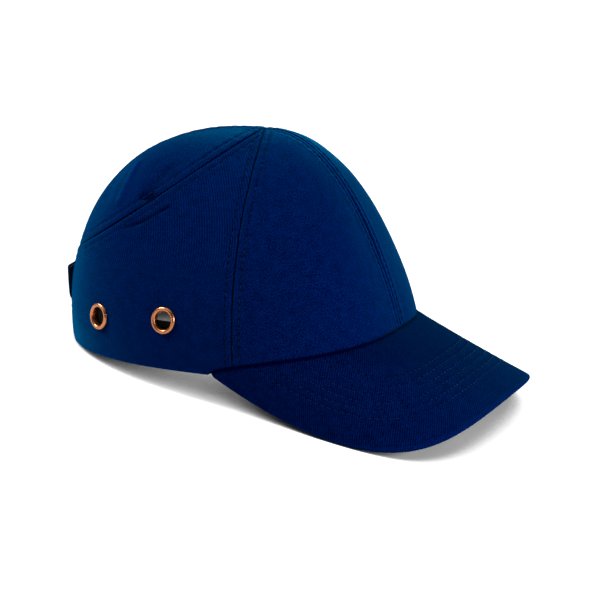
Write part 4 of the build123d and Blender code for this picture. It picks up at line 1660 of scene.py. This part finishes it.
def foam_pad(node_name, material, voxel, rounds):
    """A pad with rounded shoulders, grown from its CAD solid: remeshed and relaxed."""
    work = bpy.data.objects.new("work_" + node_name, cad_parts[node_name].data.copy())
    bpy.context.scene.collection.objects.link(work)
    remesh = work.modifiers.new("remesh", "REMESH")
    remesh.mode = "VOXEL"
    remesh.voxel_size = voxel
    relax = work.modifiers.new("relax", "SMOOTH")
    relax.factor = 0.5
    relax.iterations = rounds
    graph = bpy.context.evaluated_depsgraph_get()
    mesh = bpy.data.meshes.new_from_object(work.evaluated_get(graph))
    bpy.data.objects.remove(work)
    mesh.materials.clear()
    mesh.polygons.foreach_set("use_smooth", np.ones(len(mesh.polygons), bool))
    piece = bpy.data.objects.new("foam_" + node_name, mesh)
    bpy.context.scene.collection.objects.link(piece)
    finish_piece(piece, material, "insert", "foam", node_name)


def make_insert():
    shell = moulded_plastic("black_shell_plastic", (0.008, 0.008, 0.010), (0.035, 0.036, 0.040), 0.42, 700)
    dress("bump_shell", shell)
    board = moulded_plastic("visor_board_plastic", (0.42, 0.42, 0.40), (0.66, 0.66, 0.63), 0.5, 500)
    dress("visor_board", board)
    foam = foam_material("charcoal_foam", (0.006, 0.006, 0.008), (0.036, 0.036, 0.042))
    for pad_name in ("crown_pad", "front_pad", "rear_pad", "side_pad_left", "side_pad_right"):
        foam_pad(pad_name, foam, 0.9 * MM, 14)


make_insert()


# ---------------------------------------------------------------- floor and light
def make_floor():
    mesh = bpy.data.meshes.new("floor")
    size = 12.0
    corners = [(-size, -size, 0), (size, -size, 0), (size, size, 0), (-size, size, 0)]
    mesh.from_pydata(corners, [], [(0, 1, 2, 3)])
    floor = bpy.data.objects.new("floor", mesh)
    bpy.context.scene.collection.objects.link(floor)
    material, shader = new_material("floor_white", (0.4, 0.4, 0.4), 0.9)
    shader.inputs["Specular IOR Level"].default_value = 0.0
    # The floor glows, painted light as from a lit table, and ambient occlusion fades the glow where the cap
    # is near, painting shadow under and inside the cap.
    shader.inputs["Emission Color"].default_value = (1, 1, 1, 1)
    openness = node(material, "ShaderNodeAmbientOcclusion", samples=16)
    openness.inputs["Distance"].default_value = 0.12
    painted_glow_and_shadow = ranged(material, openness.outputs["AO"], 0.36, 0.54, 0.0, 0.7)
    plug(material, painted_glow_and_shadow, shader.inputs["Emission Strength"])
    mesh.materials.append(material)


def soft_light(name, power, size, place, aim=(0, 0, 0.06)):
    data = bpy.data.lights.new(name, "AREA")
    data.energy = power
    data.size = size
    light = bpy.data.objects.new(name, data)
    bpy.context.scene.collection.objects.link(light)
    light.location = place
    light.rotation_euler = (Vector(aim) - Vector(place)).to_track_quat("-Z", "Y").to_euler()


make_floor()
world = bpy.data.worlds.new("studio")
bpy.context.scene.world = world
world.use_nodes = True
world.node_tree.nodes["Background"].inputs["Color"].default_value = (1, 1, 1, 1)
world.node_tree.nodes["Background"].inputs["Strength"].default_value = 0.16
soft_light("overhead", 22, 2.6, (-0.1, 0.6, 2.4))
soft_light("key", 95, 0.9, (-0.2, -2.1, 0.8))
soft_light("rim", 135, 0.9, (-0.4, 2.1, 1.8))
soft_light("side", 8, 0.8, (1.9, 0.4, 0.9))
bpy.context.scene.view_settings.view_transform = "Standard"
